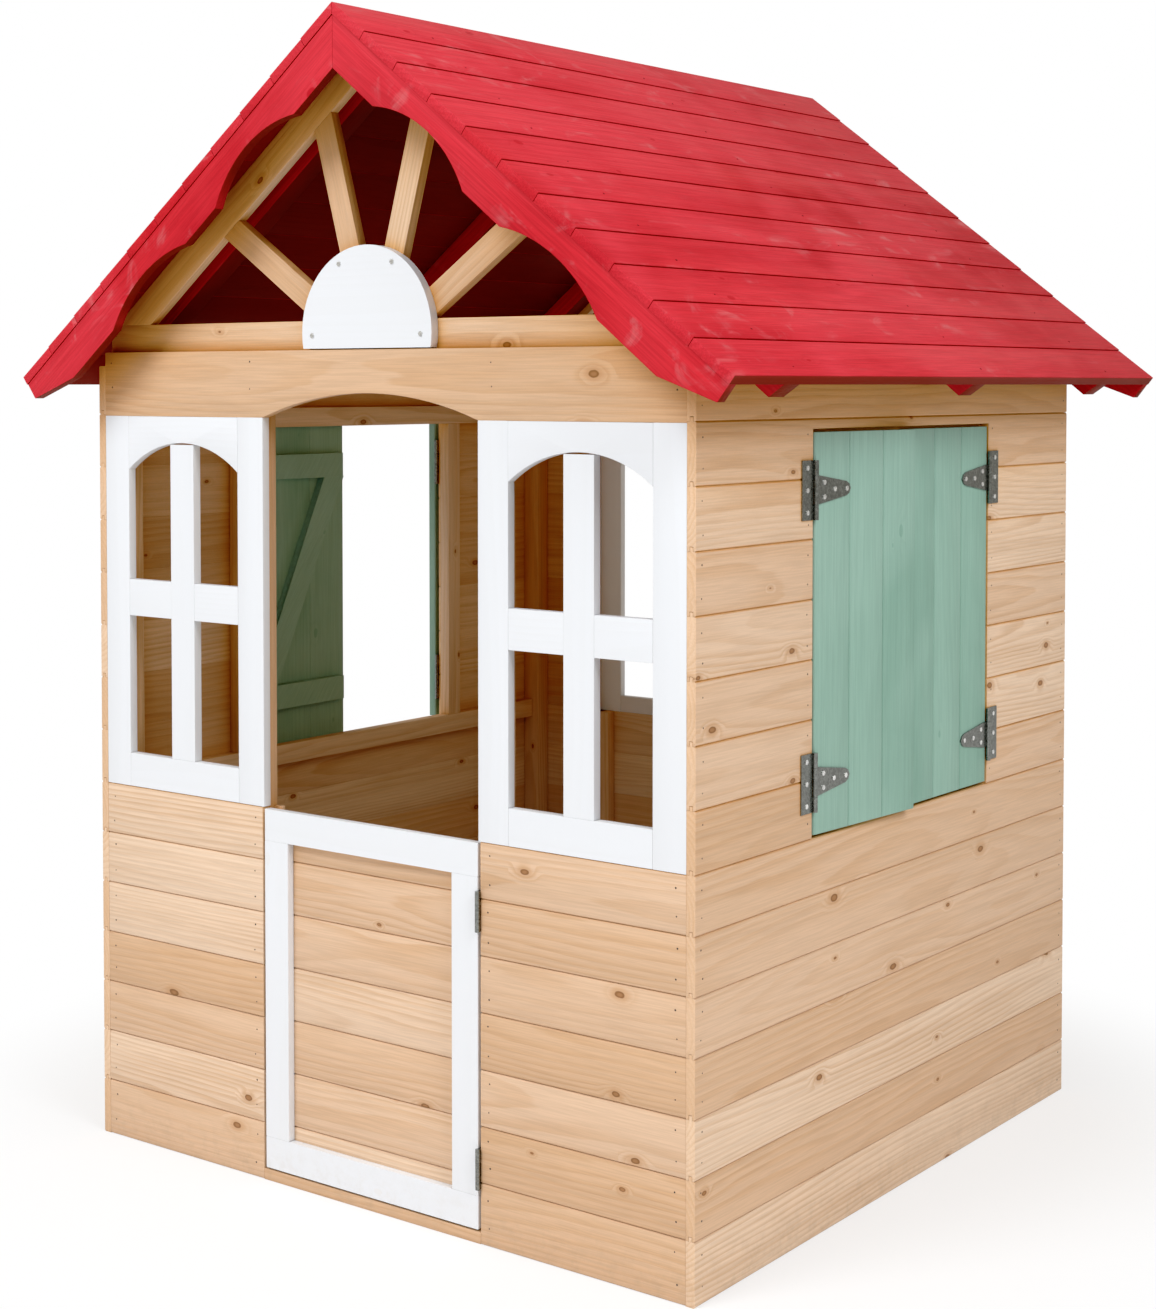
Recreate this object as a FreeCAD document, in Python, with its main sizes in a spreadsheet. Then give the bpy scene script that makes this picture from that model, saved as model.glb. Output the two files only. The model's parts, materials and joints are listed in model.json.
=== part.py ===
import FreeCAD, Part
import os
import re

import Sketcher

# A timber garden playhouse for small children. Lengths are millimetres. +Z is up and the front,
# with the door, faces -Y. The origin lies on the ground under the middle of the roof.

V = FreeCAD.Vector
doc = FreeCAD.newDocument("Playhouse")
sheet = doc.addObject("Spreadsheet::Sheet", "Sizes")
ALIASES = []
NODES = []

# How many boards stand above one another
LOW_BOARDS = 6  # above the bottom board, up to the sills
HIGH_BOARDS = 7  # beside the openings
DOOR_BOARDS = 7
SHUTTER_BOARDS = 3
ROOF_BOARDS = 11  # from the ridge to the eave


def size(alias, value, meaning):
    """One row of the size table: the value, the name it is used by and what it means."""
    row = len(ALIASES) + 1
    sheet.set("A%d" % row, meaning)
    sheet.set("B%d" % row, str(value))
    sheet.setAlias("B%d" % row, alias)
    ALIASES.append(alias)


# Overall sizes
size("house_width", 960, "over the side wall boards")
size("house_depth", 940, "over the front and rear wall boards")
size("pitch", 38.03, "slope of the roof in degrees")
size("eave_overhang", 86.5, "roof beyond the side walls, measured level")
size("roof_length", 1098, "front to rear ends of the roof boards")
size("front_overhang", 57, "roof in front of the front wall")

# Wall boards
size("board_thick", 12, "every wall board")
size("bottom_board", 73, "lowest board")
size("low_boards", LOW_BOARDS, "equal boards above it, up to the sills")
size("low_top", 476, "top of the last of these")
size("high_boards", HIGH_BOARDS, "boards beside the openings")
size("high_pitch", 70.5, "height of one of these")
size("top_board", 64.5, "side wall board under the eaves")
size("board_slack", 0.2, "left open between two boards")
size("vee", 1.6, "chamfer on the outer edges of a board")
size("tongue_thick", 4, "tongue of a board")
size("tongue_high", 5, "how far the tongue stands up")
size("groove_slack", 0.3, "play around a tongue")

# Framing timber
size("post", 28, "framing timber, and square at the corners")
size("frame_deep", 17, "framing of the openings, square to the wall")
size("truss_thick", 14, "gable frame timber")
size("tie_high", 36, "tie beam of the gable")
size("rafter_deep", 40, "gable rafter, square to the slope")
size("spoke_wide", 32, "spokes of the gable")
size("spoke_centre", 1042, "height the spokes point away from")
size("steep_spoke", 74.5, "angle of the inner spokes in degrees")
size("flat_spoke", 34.5, "angle of the outer spokes in degrees")

# Door and doorway
size("doorway_half", 178, "half the width between the front boards")
size("door_gap", 4, "space left beside the door")
size("door_bottom", 16.5, "underside of the door")
size("door_top", 474, "top of the door")
size("door_frame", 40, "width of the door's white frame")
size("door_frame_thick", 10, "planted on the face of the door")
size("door_boards", DOOR_BOARDS, "boards of the door")
size("door_first_board", 57.2, "height of the lowest one")
size("door_board", 67.2, "height of those between the lowest and the top one")
size("door_top_drop", 4, "top board below the top of the door's frame")
size("threshold_high", 14, "strip under the door")
size("header_bottom", 967.5, "underside of the arched board")
size("header_top", 1051.5, "top of the arched board")
size("header_rise", 31, "height of its arch")
size("arch_half", 175, "half the span of its arch")

# Front windows
size("stile", 45, "upright at each side of a window")
size("mullion", 43, "upright in the middle of a window")
size("middle_rail_low", 703.5, "underside of the middle rail")
size("middle_rail_high", 751.5, "top of the middle rail")
size("bottom_rail_top", 520, "top of the bottom rail")
size("pane_spring", 897, "where the arch of a window begins")
size("pane_rise", 36, "height of the window's arch")
size("mullion_drop", 2.2, "square end of a mullion below the top of the arch")

# Rear window
size("rear_window_half", 331, "half its width")
size("rear_stile", 41, "uprights of the rear window")
size("rear_sill", 26, "bottom rail of the rear window")

# Side openings and shutters
size("opening_width", 452, "side opening, front to rear")
size("opening_top", 957.5, "top of the side opening")
size("shutter_boards", SHUTTER_BOARDS, "boards side by side in a shutter")
size("shutter_thick", 11.6, "their thickness")
size("shutter_gap", 2, "hinge line to the edge on either side")
size("shutter_seam", 3, "between two closed shutters")
size("shutter_lift", 4, "space above and below a shutter")
size("post_lap", 10, "framing seen behind the shutter edges")
size("ledge_high", 35, "ledges behind a shutter")
size("ledge_low", 537, "underside of the lower ledge")
size("ledge_up", 872, "underside of the upper ledge")
size("ledge_inset", 22, "ledge end to hinge line")
size("ledge_free", 12, "ledge end to the free edge")
size("brace_wide", 42, "diagonal brace, measured level")
size("ajar", 3.7, "how far the right front shutter stands open, degrees")
size("left_ajar", 2, "how far the left front shutter stands open, degrees")
size("thrown_back", 172, "how far the left rear shutter stands open, degrees")

# T hinges of the shutters
size("leaf_thick", 1.6, "hinge plates")
size("barrel", 3.2, "radius of a T hinge's barrel")
size("pin", 1.5, "radius of a hinge pin")
size("pin_play", 0.05, "play around a pin")
size("knuckle_gap", 0.3, "between two knuckles")
size("plate_high", 70, "wall plate")
size("plate_wide", 28, "wall plate, hinge line to its edge")
size("flap_long", 75, "flap, hinge line to its tip")
size("flap_root", 34, "height of the flap at the barrel")
size("flap_neck", 8, "barrel to where the flap begins to taper")
size("flap_nose", 9, "length of its rounded tip")
size("flap_cheek", 17, "height where the tip begins")
size("flap_chin", 11, "height where the tip is cut back again")
size("flap_bevel", 3, "last cut of the tip")
size("flap_screw_near", 19, "barrel to the pair of screws")
size("flap_screw_far", 41, "barrel to the third screw")
size("plate_screw_back", 17, "screws of the wall plate to the hinge line")
size("plate_screw_apart", 26, "between two screws of the wall plate")
size("lower_hinge", 543, "middle of the lower T hinge")
size("upper_hinge", 886, "middle of the upper T hinge")
size("screw_head", 3, "radius of a screw head")
size("screw_dome", 1, "how far a screw head stands out")

# Butt hinges of the door
size("butt_leaf", 1.2, "leaf of a butt hinge")
size("butt_deep", 20, "leaf, into the gap")
size("butt_high", 48, "height of a butt hinge")
size("butt_barrel", 3, "radius of its barrel")
size("lower_butt", 89.5, "middle of the lower butt hinge")
size("upper_butt", 394, "middle of the upper butt hinge")

# Plaque
size("plaque_radius", 105, "half the width of the round-topped plaque")
size("plaque_bottom", 1053, "underside of the plaque")
size("plaque_top", 1177.5, "top of the plaque")
size("plaque_screw_low_x", 88, "lower screws, from the middle")
size("plaque_screw_low_z", 16, "lower screws, above the lower edge")
size("plaque_screw_top_x", 43, "upper screws, from the middle")
size("plaque_screw_top_z", 22, "upper screws, below the top")

# Roof
size("roof_board_thick", 12, "roof boards")
size("roof_boards", ROOF_BOARDS, "boards on one slope")
size("roof_gap", 0.5, "left open between two roof boards")
size("roof_vee", 0.4, "chamfer on their upper edges")
size("roof_step", 1.2, "lower edge of a board above the upper edge of the next")
size("batten_wide", 32, "battens under the roof boards")
size("batten_front", 38, "front batten behind the gable frame")
size("batten_middle", 34, "middle batten behind the middle of the roof")
size("batten_deep", 28, "battens, square to the slope")
size("batten_back", 5, "batten end to the eave, along the slope")
size("batten_cut", 9, "how far the end is cut back underneath")
size("batten_clear", 1, "side wall to the underside of the battens")
size("barge_thick", 14, "barge boards")
size("barge_deep", 50, "barge boards, square to the slope")
size("barge_step", 1, "face of a barge board behind the board ends")
size("notch_upper", 215, "ridge to the first hollow of a barge board")
size("notch_lower", 455, "ridge to the second hollow")
size("notch_half", 86, "half the length of a hollow")
size("notch_deep", 24, "depth of the first hollow")
size("notch_shallow", 20, "depth of the second hollow")
size("tail_start", 640, "ridge to where the tail is cut back")
size("tail_deep", 24, "depth left at the tip of the tail")
size("ridge_slack", 0.15, "half the joint along the ridge")

# Sizes that follow from the ones above
size("fall", "=tan(pitch * 1deg)", "drop of the roof for each unit level")
size("roof_half", "=house_width / 2 + eave_overhang", "ridge to the eave, measured level")
size("slope_length", "=roof_half / cos(pitch * 1deg)", "ridge to eave along the slope")
size("front_face", "=front_overhang - roof_length / 2", "outside of the front wall")
size("rear_face", "=front_face + house_depth", "outside of the rear wall")
size("middle_y", "=(front_face + rear_face) / 2", "middle of the house")
size("inner_half", "=house_width / 2 - board_thick", "inside of a side wall")
size("low_pitch", "=(low_top - bottom_board) / low_boards", "boards below the sills")
size("high_top", "=low_top + high_boards * high_pitch", "top of the boards beside an opening")
size("tie_top", "=header_top + tie_high", "top of a tie beam")
size("wall_head", "=high_top + top_board - board_slack", "top of the side walls")
size("under_batten", "=wall_head + batten_clear + fall * house_width / 2", "battens' underside at x = 0")
size("under_roof", "=under_batten + batten_deep / cos(pitch * 1deg)", "same for the roof boards")
size("ridge_height", "=under_roof + roof_board_thick / cos(pitch * 1deg)", "ground to the top of the ridge")
size("under_rafter", "=under_roof - rafter_deep / cos(pitch * 1deg)", "underside of the rafters at x = 0")
size("window_inner", "=arch_half", "inner edge of a front window")
size("window_middle", "=(window_inner + inner_half) / 2", "middle of a front window")
size("pane_half", "=(inner_half - window_inner) / 2 - stile", "half the clear width of a window")
size("pane_radius", "=(pane_half ^ 2 + pane_rise ^ 2) / (2 * pane_rise)", "arch of a window")
size("header_radius", "=(arch_half ^ 2 + header_rise ^ 2) / (2 * header_rise)", "arch over the door")
size("opening_front", "=middle_y - opening_width / 2", "front edge of a side opening")
size("opening_rear", "=middle_y + opening_width / 2", "rear edge of a side opening")
size("shutter_bottom", "=low_top + shutter_lift", "underside of a shutter")
size("shutter_high", "=opening_top - low_top - 2 * shutter_lift", "height of a shutter")
size("shutter_wide", "=(opening_width - shutter_seam) / 2 - 2 * shutter_gap", "width of a shutter")
size("shutter_board", "=shutter_wide / shutter_boards", "one board of a shutter")
size("door_half", "=doorway_half - door_gap", "half the width of the door")
size("butt_line", "=doorway_half - door_gap / 2", "hinge line of the door")
size("hollow_upper", "=(notch_half ^ 2 + notch_deep ^ 2) / (2 * notch_deep)", "radius of the first hollow")
size("hollow_lower", "=(notch_half ^ 2 + notch_shallow ^ 2) / (2 * notch_shallow)", "radius of the second")
size("roof_board", "=slope_length / roof_boards", "one roof board along the slope")


def linked(text):
    """Point every name of the size table in an expression at the table."""
    return re.sub(r"[a-z][a-z_]*", lambda word: "Sizes." + word.group(0)
                  if word.group(0) in ALIASES else word.group(0), text)


def bind(obj, prop, text):
    obj.setExpression(prop, linked(text))


def move(obj, at):
    for axis, text in zip("xyz", at):
        bind(obj, ".Placement.Base." + axis, text)


def node(label, obj):
    """Name a finished sub-part: the label is also its file name."""
    obj.Label = label
    NODES.append(obj)
    return obj


def block(name, at, sides):
    obj = doc.addObject("Part::Box", name)
    for prop, text in zip(("Length", "Width", "Height"), sides):
        bind(obj, prop, text)
    move(obj, at)
    return obj


# Directions a cylinder or an outline can be turned to
UPRIGHT = FreeCAD.Rotation()
TO_FRONT = FreeCAD.Rotation(V(1, 0, 0), 90)  # drawn in X and Z, pushed towards -Y
TO_RIGHT = FreeCAD.Rotation(V(1, 1, 1), 120)  # drawn in Y and Z, pushed towards +X
TO_LEFT = FreeCAD.Rotation(V(0, -1, 0), V(0, 0, 1), V(-1, 0, 0), "ZXY")  # drawn in -Y and Z


def rod(name, at, radius, length, turn):
    obj = doc.addObject("Part::Cylinder", name)
    obj.Placement = FreeCAD.Placement(V(), turn)
    bind(obj, "Radius", radius)
    bind(obj, "Height", length)
    move(obj, at)
    return obj


def outline(name, points):
    """A closed outline whose corners are held at two expressions each."""
    sketch = doc.addObject("Sketcher::SketchObject", name)
    count = len(points)
    start = [FreeCAD.Rotation(V(0, 0, 1), 360.0 * i / count + 10).multVec(V(100, 0, 0)) for i in range(count)]
    for i in range(count):
        sketch.addGeometry(Part.LineSegment(start[i], start[(i + 1) % count]))
    for i in range(count):
        sketch.addConstraint(Sketcher.Constraint("Coincident", i, 2, (i + 1) % count, 1))
    for i, (across, up) in enumerate(points):
        for kind, text, now in (("DistanceX", across, start[i].x), ("DistanceY", up, start[i].y)):
            number = sketch.addConstraint(Sketcher.Constraint(kind, -1, 1, i, 1, now))
            bind(sketch, "Constraints[%d]" % number, text)
    return sketch


def push(name, sketch, length, at, turn):
    """Give an outline its thickness."""
    obj = doc.addObject("Part::Extrusion", name)
    obj.Base = sketch
    obj.DirMode = "Custom"
    obj.Dir = V(0, 0, 1)
    obj.Solid = True
    obj.Placement = FreeCAD.Placement(V(), turn)
    bind(obj, "LengthFwd", length)
    move(obj, at)
    return obj


def group(name, pieces, at=("0", "0", "0"), axis=V(0, 0, 1), angle="0"):
    obj = doc.addObject("Part::Compound", name)
    obj.Links = pieces
    obj.Placement = FreeCAD.Placement(V(), FreeCAD.Rotation(axis, 1))
    bind(obj, ".Placement.Rotation.Angle", angle)
    move(obj, at)
    return obj


def without(name, base, tool):
    obj = doc.addObject("Part::Cut", name)
    obj.Base = base
    obj.Tool = tool
    return obj


def shared(name, base, tool):
    obj = doc.addObject("Part::Common", name)
    obj.Base = base
    obj.Tool = tool
    return obj


def joined(name, pieces):
    obj = doc.addObject("Part::MultiFuse", name)
    obj.Shapes = pieces
    return obj


def mirrored(name, source, normal=V(1, 0, 0), about="0"):
    obj = doc.addObject("Part::Mirroring", name)
    obj.Source = source
    obj.Normal = normal
    for axis, weight in zip("xyz", normal):
        if weight:
            bind(obj, "Base." + axis, about)
    return obj


# Wall boards: tongue on top, groove underneath, small chamfers on the outer face

def board_section(name, high, thick="board_thick", tongue=True, groove=True):
    """Cross section of a board: across is its thickness with the outer face at the far side."""
    top = high + " - board_slack"
    points = [("0", "0")]
    if groove:
        near = "(%s - tongue_thick) / 2 - groove_slack" % thick
        far = "(%s + tongue_thick) / 2 + groove_slack" % thick
        deep = "tongue_high + groove_slack"
        points += [(near, "0"), (near, deep), (far, deep), (far, "0")]
    points += [(thick + " - vee", "0"), (thick, "vee"), (thick, top + " - vee"), (thick + " - vee", top)]
    if tongue:
        near = "(%s - tongue_thick) / 2" % thick
        far = "(%s + tongue_thick) / 2" % thick
        tip = top + " + tongue_high"
        points += [(far, top), (far, tip), (near, tip), (near, top)]
    points.append(("0", top))
    return outline(name, points)


bottom_section = board_section("bottom_section", "bottom_board", groove=False)
low_section = board_section("low_section", "low_pitch")
sill_section = board_section("sill_section", "low_pitch", tongue=False)
high_section = board_section("high_section", "high_pitch")
header_section = board_section("header_section", "(header_top - high_top)", tongue=False)
eave_section = board_section("eave_section", "top_board", tongue=False)

LOW_ROWS = [(bottom_section, "0")]
LOW_ROWS += [(low_section, "bottom_board + %d * low_pitch" % i) for i in range(LOW_BOARDS - 1)]
HIGH_ROWS = [(high_section, "low_top + %d * high_pitch" % i) for i in range(HIGH_BOARDS)]


def boards(name, rows, length, across, along, turn):
    """A stack of boards; across and along place its first board in the plane of the floor."""
    stack = []
    for number, (section, height) in enumerate(rows):
        stack.append(push("%s_%d" % (name, number), section, length, (across, along, height), turn))
    return group(name + "_stack", stack)


SILL_BOARD = [(sill_section, "low_top - low_pitch")]
LAST_LOW = [(low_section, "low_top - low_pitch")]

# Front wall below the windows: the side walls lap over the ends of these boards
front_right = node("front_right_boards", boards(
    "front_right", LOW_ROWS + SILL_BOARD, "inner_half - doorway_half",
    "inner_half", "front_face + board_thick", TO_LEFT))
node("front_left_boards", mirrored("front_left", front_right))

# Rear wall in one height, with the window cut out of it
rear_stack = boards(
    "rear", LOW_ROWS + LAST_LOW + HIGH_ROWS + [(header_section, "high_top")], "2 * inner_half",
    "-inner_half", "rear_face - board_thick", TO_RIGHT)
rear_hole = block("rear_hole", ("-rear_window_half", "rear_face - 2 * board_thick", "low_top"),
                  ("2 * rear_window_half", "3 * board_thick", "high_top - low_top"))
node("rear_wall_boards", without("rear_wall", rear_stack, rear_hole))

# Side walls, with the shutter opening cut out of them
side_stack = boards(
    "side", LOW_ROWS + LAST_LOW + HIGH_ROWS + [(eave_section, "high_top")], "house_depth",
    "inner_half", "rear_face", TO_FRONT)
side_hole = block("side_hole", ("inner_half - board_thick", "opening_front", "low_top"),
                  ("3 * board_thick", "opening_width", "opening_top - low_top"))
right_wall = node("right_wall_boards", without("right_wall", side_stack, side_hole))
node("left_wall_boards", mirrored("left_wall", right_wall))

# Framing timber inside the walls
front_inside = "front_face + board_thick"
rear_inside = "rear_face - board_thick"

corner_front = block("corner_front", ("inner_half - post", front_inside, "0"), ("post", "post", "wall_head"))
corner_rear = block("corner_rear", ("inner_half - post", rear_inside + " - post", "0"),
                    ("post", "post", "wall_head"))
right_corners = group("right_corners", [corner_front, corner_rear])
node("corner_posts", group("corners", [right_corners, mirrored("left_corners", right_corners)]))

door_post = block("door_post", ("doorway_half + door_gap / 2", front_inside, "0"),
                  ("post", "frame_deep", "header_top"))
node("door_posts", group("both_door_posts", [door_post, mirrored("left_door_post", door_post)]))

rear_post = block("rear_post", ("rear_window_half - post", rear_inside + " - frame_deep", "0"),
                  ("post", "frame_deep", "low_top"))
rear_post_up = block("rear_post_up", ("rear_window_half", rear_inside + " - frame_deep", "low_top"),
                     ("post", "frame_deep", "header_top - low_top"))
rear_posts = group("right_rear_posts", [rear_post, rear_post_up])
left_rear_posts = mirrored("left_rear_posts", rear_posts)
node("rear_window_posts", group("both_rear_posts", [rear_posts, left_rear_posts]))

rail_length = "house_depth - 2 * board_thick - 2 * post"
frame_x = "inner_half - frame_deep"
sill_top = "low_top + post_lap"
post_high = "opening_top - low_top - 2 * post_lap"
opening_post_front = block("opening_post_front", (frame_x, "opening_front + post_lap - post", sill_top),
                           ("frame_deep", "post", post_high))
opening_post_rear = block("opening_post_rear", (frame_x, "opening_rear - post_lap", sill_top),
                          ("frame_deep", "post", post_high))
sill_rail = block("sill_rail", (frame_x, front_inside + " + post", sill_top + " - post"),
                  ("frame_deep", rail_length, "post"))
head_rail = block("head_rail", (frame_x, front_inside + " + post", "opening_top - post_lap"),
                  ("frame_deep", rail_length, "post"))
opening_posts = group("right_opening_posts", [opening_post_front, opening_post_rear])
left_opening_posts = mirrored("left_opening_posts", opening_posts)
node("shutter_posts", group("all_opening_posts", [opening_posts, left_opening_posts]))
side_rails = group("right_rails", [sill_rail, head_rail])
node("side_wall_rails", group("all_rails", [side_rails, mirrored("left_rails", side_rails)]))

# Doorway: threshold, stop for the closed door and the arched board above
node("threshold", block("threshold", ("-doorway_half", "front_face", "0"),
                        ("2 * doorway_half", "board_thick", "threshold_high")))
door_back = "door_frame_thick + knuckle_gap"
node("door_stop", block(
    "door_stop", ("-doorway_half - door_gap / 2", "%s + %s" % (front_inside, door_back), "door_bottom"),
    ("post / 2", "frame_deep - (%s)" % door_back, "door_top - door_bottom")))
header_plain = block("header_plain", ("-inner_half", "front_face", "header_bottom"),
                     ("2 * inner_half", "board_thick", "header_top - header_bottom"))
header_middle = "header_bottom + header_rise - header_radius"
header_arch = rod("header_arch", ("0", "front_face + 2 * board_thick", header_middle),
                  "header_radius", "3 * board_thick", TO_FRONT)
node("arched_header", without("header", header_plain, header_arch))


# Front windows: two stiles, an arched top rail and the bars between them
def bar(name, low_x, high_x, low_z, high_z, face="front_face"):
    return block(name, (low_x, face, low_z), ("(%s) - (%s)" % (high_x, low_x), "board_thick",
                                              "(%s) - (%s)" % (high_z, low_z)))


pane_left = "window_inner + stile"
pane_right = "inner_half - stile"
stile_pair = group("window_stiles", [
    bar("inner_stile", "window_inner", pane_left, "low_top", "header_bottom"),
    bar("outer_stile", pane_right, "inner_half", "low_top", "header_bottom")])
node("right_window_stiles", stile_pair)
node("left_window_stiles", mirrored("window_stiles_left", stile_pair))

arch_plain = bar("arch_plain", pane_left, pane_right, "pane_spring", "header_bottom")
arch_middle = "pane_spring + pane_rise - pane_radius"
arch_round = rod("arch_round", ("window_middle", "front_face + 2 * board_thick", arch_middle),
                 "pane_radius", "3 * board_thick", TO_FRONT)
arch_rail = without("arch_rail", arch_plain, arch_round)
node("right_window_arch", arch_rail)
node("left_window_arch", mirrored("arch_rail_left", arch_rail))

mullion_left = "window_middle - mullion / 2"
mullion_right = "window_middle + mullion / 2"
mullion_top = "pane_spring + pane_rise - mullion_drop"
window_bars = group("window_bars", [
    bar("mullion_bar", mullion_left, mullion_right, "bottom_rail_top", mullion_top),
    bar("bottom_rail", pane_left, pane_right, "low_top", "bottom_rail_top"),
    bar("middle_rail_in", pane_left, mullion_left, "middle_rail_low", "middle_rail_high"),
    bar("middle_rail_out", mullion_right, pane_right, "middle_rail_low", "middle_rail_high")])
node("right_window_bars", window_bars)
node("left_window_bars", mirrored("window_bars_left", window_bars))

# Rear window: wide and square headed
rear_plane = "rear_face - board_thick"
rear_clear = "rear_window_half - rear_stile"
rear_stile_right = bar("rear_stile_right", rear_clear, "rear_window_half", "low_top", "high_top", rear_plane)
rear_stile_left = mirrored("rear_stile_left", rear_stile_right)
node("rear_window_stiles", group("rear_stiles", [rear_stile_right, rear_stile_left]))
node("rear_window_bars", group("rear_bars", [
    bar("rear_bottom", "-(%s)" % rear_clear, rear_clear, "low_top", "low_top + rear_sill", rear_plane),
    bar("rear_top", "-(%s)" % rear_clear, rear_clear, "high_top - stile", "high_top", rear_plane),
    bar("rear_mullion", "-mullion / 2", "mullion / 2",
        "low_top + rear_sill", "high_top - stile", rear_plane)]))


# Gables: tie beam, two rafters and four spokes in one plane, drawn seen from the front
def roof_line(height):
    """How far out the underside of the roof is at a height."""
    return "(under_roof - (%s)) / fall" % height


tie_section = outline("tie_section", [
    ("-inner_half", "header_top"), ("inner_half", "header_top"),
    ("inner_half", "under_roof - fall * inner_half"), (roof_line("tie_top"), "tie_top"),
    ("-" + roof_line("tie_top"), "tie_top"), ("-inner_half", "under_roof - fall * inner_half")])
rafter_section = outline("rafter_section", [
    ("ridge_slack", "under_rafter - fall * ridge_slack"), ("(under_rafter - tie_top) / fall", "tie_top"),
    (roof_line("tie_top"), "tie_top"), ("ridge_slack", "under_roof - fall * ridge_slack")])


def spoke_edge(angle, side):
    """Where one edge of a spoke meets the tie beam and the rafter."""
    shift = "%s (spoke_wide / 2) / cos(%s * 1deg)" % (side, angle)
    foot = ("((tie_top - spoke_centre) - (0 %s)) / tan(%s * 1deg)" % (shift, angle), "tie_top")
    reach = "((under_rafter - spoke_centre) - (0 %s)) / (tan(%s * 1deg) + fall)" % (shift, angle)
    return foot, (reach, "under_rafter - fall * (%s)" % reach)


flat_upper, flat_upper_tip = spoke_edge("flat_spoke", "+")
flat_lower, flat_lower_tip = spoke_edge("flat_spoke", "-")
flat_section = outline("flat_section", [flat_lower, flat_lower_tip, flat_upper_tip, flat_upper])
steep_upper, steep_upper_tip = spoke_edge("steep_spoke", "+")
steep_lower, steep_lower_tip = spoke_edge("steep_spoke", "-")
steep_foot = "spoke_centre + tan(steep_spoke * 1deg) * ridge_slack"
steep_foot += " + (spoke_wide / 2) / cos(steep_spoke * 1deg)"
steep_section = outline("steep_section", [
    ("ridge_slack", "tie_top"), steep_lower, steep_lower_tip, steep_upper_tip, ("ridge_slack", steep_foot)])


def gable(name, face):
    """Timber of one gable, its front plane at face."""
    back = face + " + truss_thick"
    at = ("0", back, "0")
    tie = push(name + "_tie", tie_section, "truss_thick", at, TO_FRONT)
    rafter = push(name + "_rafter", rafter_section, "truss_thick", at, TO_FRONT)
    spokes = [push(name + "_flat", flat_section, "truss_thick", at, TO_FRONT),
              push(name + "_steep", steep_section, "truss_thick", at, TO_FRONT)]
    right = group(name + "_spokes_right", spokes)
    node(name + "_gable_rafters", group(name + "_rafters", [rafter, mirrored(name + "_rafter_left", rafter)]))
    node(name + "_gable_spokes", group(name + "_spokes", [right, mirrored(name + "_spokes_left", right)]))
    return tie


front_tie = gable("front", front_inside)
rear_tie = gable("rear", rear_inside + " - truss_thick")
node("gable_tie_beams", group("tie_beams", [front_tie, rear_tie]))

# Plaques: a round-topped board on each gable, held by four screws
PLAQUE_SCREWS = [(side + "plaque_screw_low_x", "plaque_bottom + plaque_screw_low_z") for side in ("-", "")]
PLAQUE_SCREWS += [(side + "plaque_screw_top_x", "plaque_top - plaque_screw_top_z") for side in ("-", "")]


def screw(name, at, shank, turn):
    """A round-headed screw seen from its head; at is the middle of the seat under the head."""
    head = rod(name + "_head", ("0", "0", "0"), "screw_head", "screw_dome", UPRIGHT)
    stem = rod(name + "_stem", ("0", "0", "-(%s)" % shank), "pin", shank, UPRIGHT)
    whole = joined(name, [head, stem])
    whole.Placement = FreeCAD.Placement(V(), turn)
    move(whole, at)
    return whole


def plaque(name, face, outward, turn):
    """The board stands on face and its screws are driven along outward."""
    low = face if outward > 0 else face + " - board_thick"
    seat = face + (" + board_thick" if outward > 0 else " - board_thick")
    disc = rod(name + "_disc", ("0", low + " + board_thick", "plaque_top - plaque_radius"),
               "plaque_radius", "board_thick", TO_FRONT)
    slab = block(name + "_slab", ("-plaque_radius", low, "plaque_bottom"),
                 ("2 * plaque_radius", "board_thick", "plaque_top - plaque_bottom"))
    screws = group(name + "_screws", [
        screw("%s_screw_%d" % (name, i), (x, seat, z), "board_thick", turn)
        for i, (x, z) in enumerate(PLAQUE_SCREWS)])
    return without(name + "_board", shared(name + "_shape", disc, slab), screws), screws


front_plaque, front_plaque_screws = plaque("front_plaque", front_inside, -1, TO_FRONT)
rear_plaque, rear_plaque_screws = plaque("rear_plaque", rear_inside, 1, FreeCAD.Rotation(V(1, 0, 0), -90))
node("gable_plaques", group("plaques", [front_plaque, rear_plaque]))
node("gable_plaque_screws", group("plaque_screws", [front_plaque_screws, rear_plaque_screws]))

# Roof: each slope is drawn level, from the ridge out along +X, then tilted down about the ridge
past_ridge = block("past_ridge", ("ridge_slack - roof_half", "-roof_length", "0"),
                   ("roof_half", "2 * roof_length", "2 * ridge_height"))


def tilted(name, pieces):
    """Tilt level pieces to the right-hand slope and mitre them along the ridge."""
    slope = group(name + "_slope", pieces, ("0", "0", "ridge_height"), V(0, 1, 0), "pitch")
    return without(name, slope, past_ridge)


roof_section = outline("roof_section", [
    ("0", "-roof_board_thick"), ("roof_board - roof_gap", "-roof_board_thick"),
    ("roof_board - roof_gap", "roof_step / 2 - roof_vee"),
    ("roof_board - roof_gap - roof_vee", "roof_step / 2"), ("roof_vee", "-roof_step / 2"),
    ("0", "-roof_step / 2 - roof_vee")])
slope_boards = [push("roof_board_%d" % i, roof_section, "roof_length",
                     ("%d * roof_board" % i, "roof_length / 2", "0"), TO_FRONT)
                for i in range(ROOF_BOARDS)]
right_roof = node("roof_boards_right", tilted("right_roof", slope_boards))
node("roof_boards_left", mirrored("left_roof", right_roof))

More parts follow.
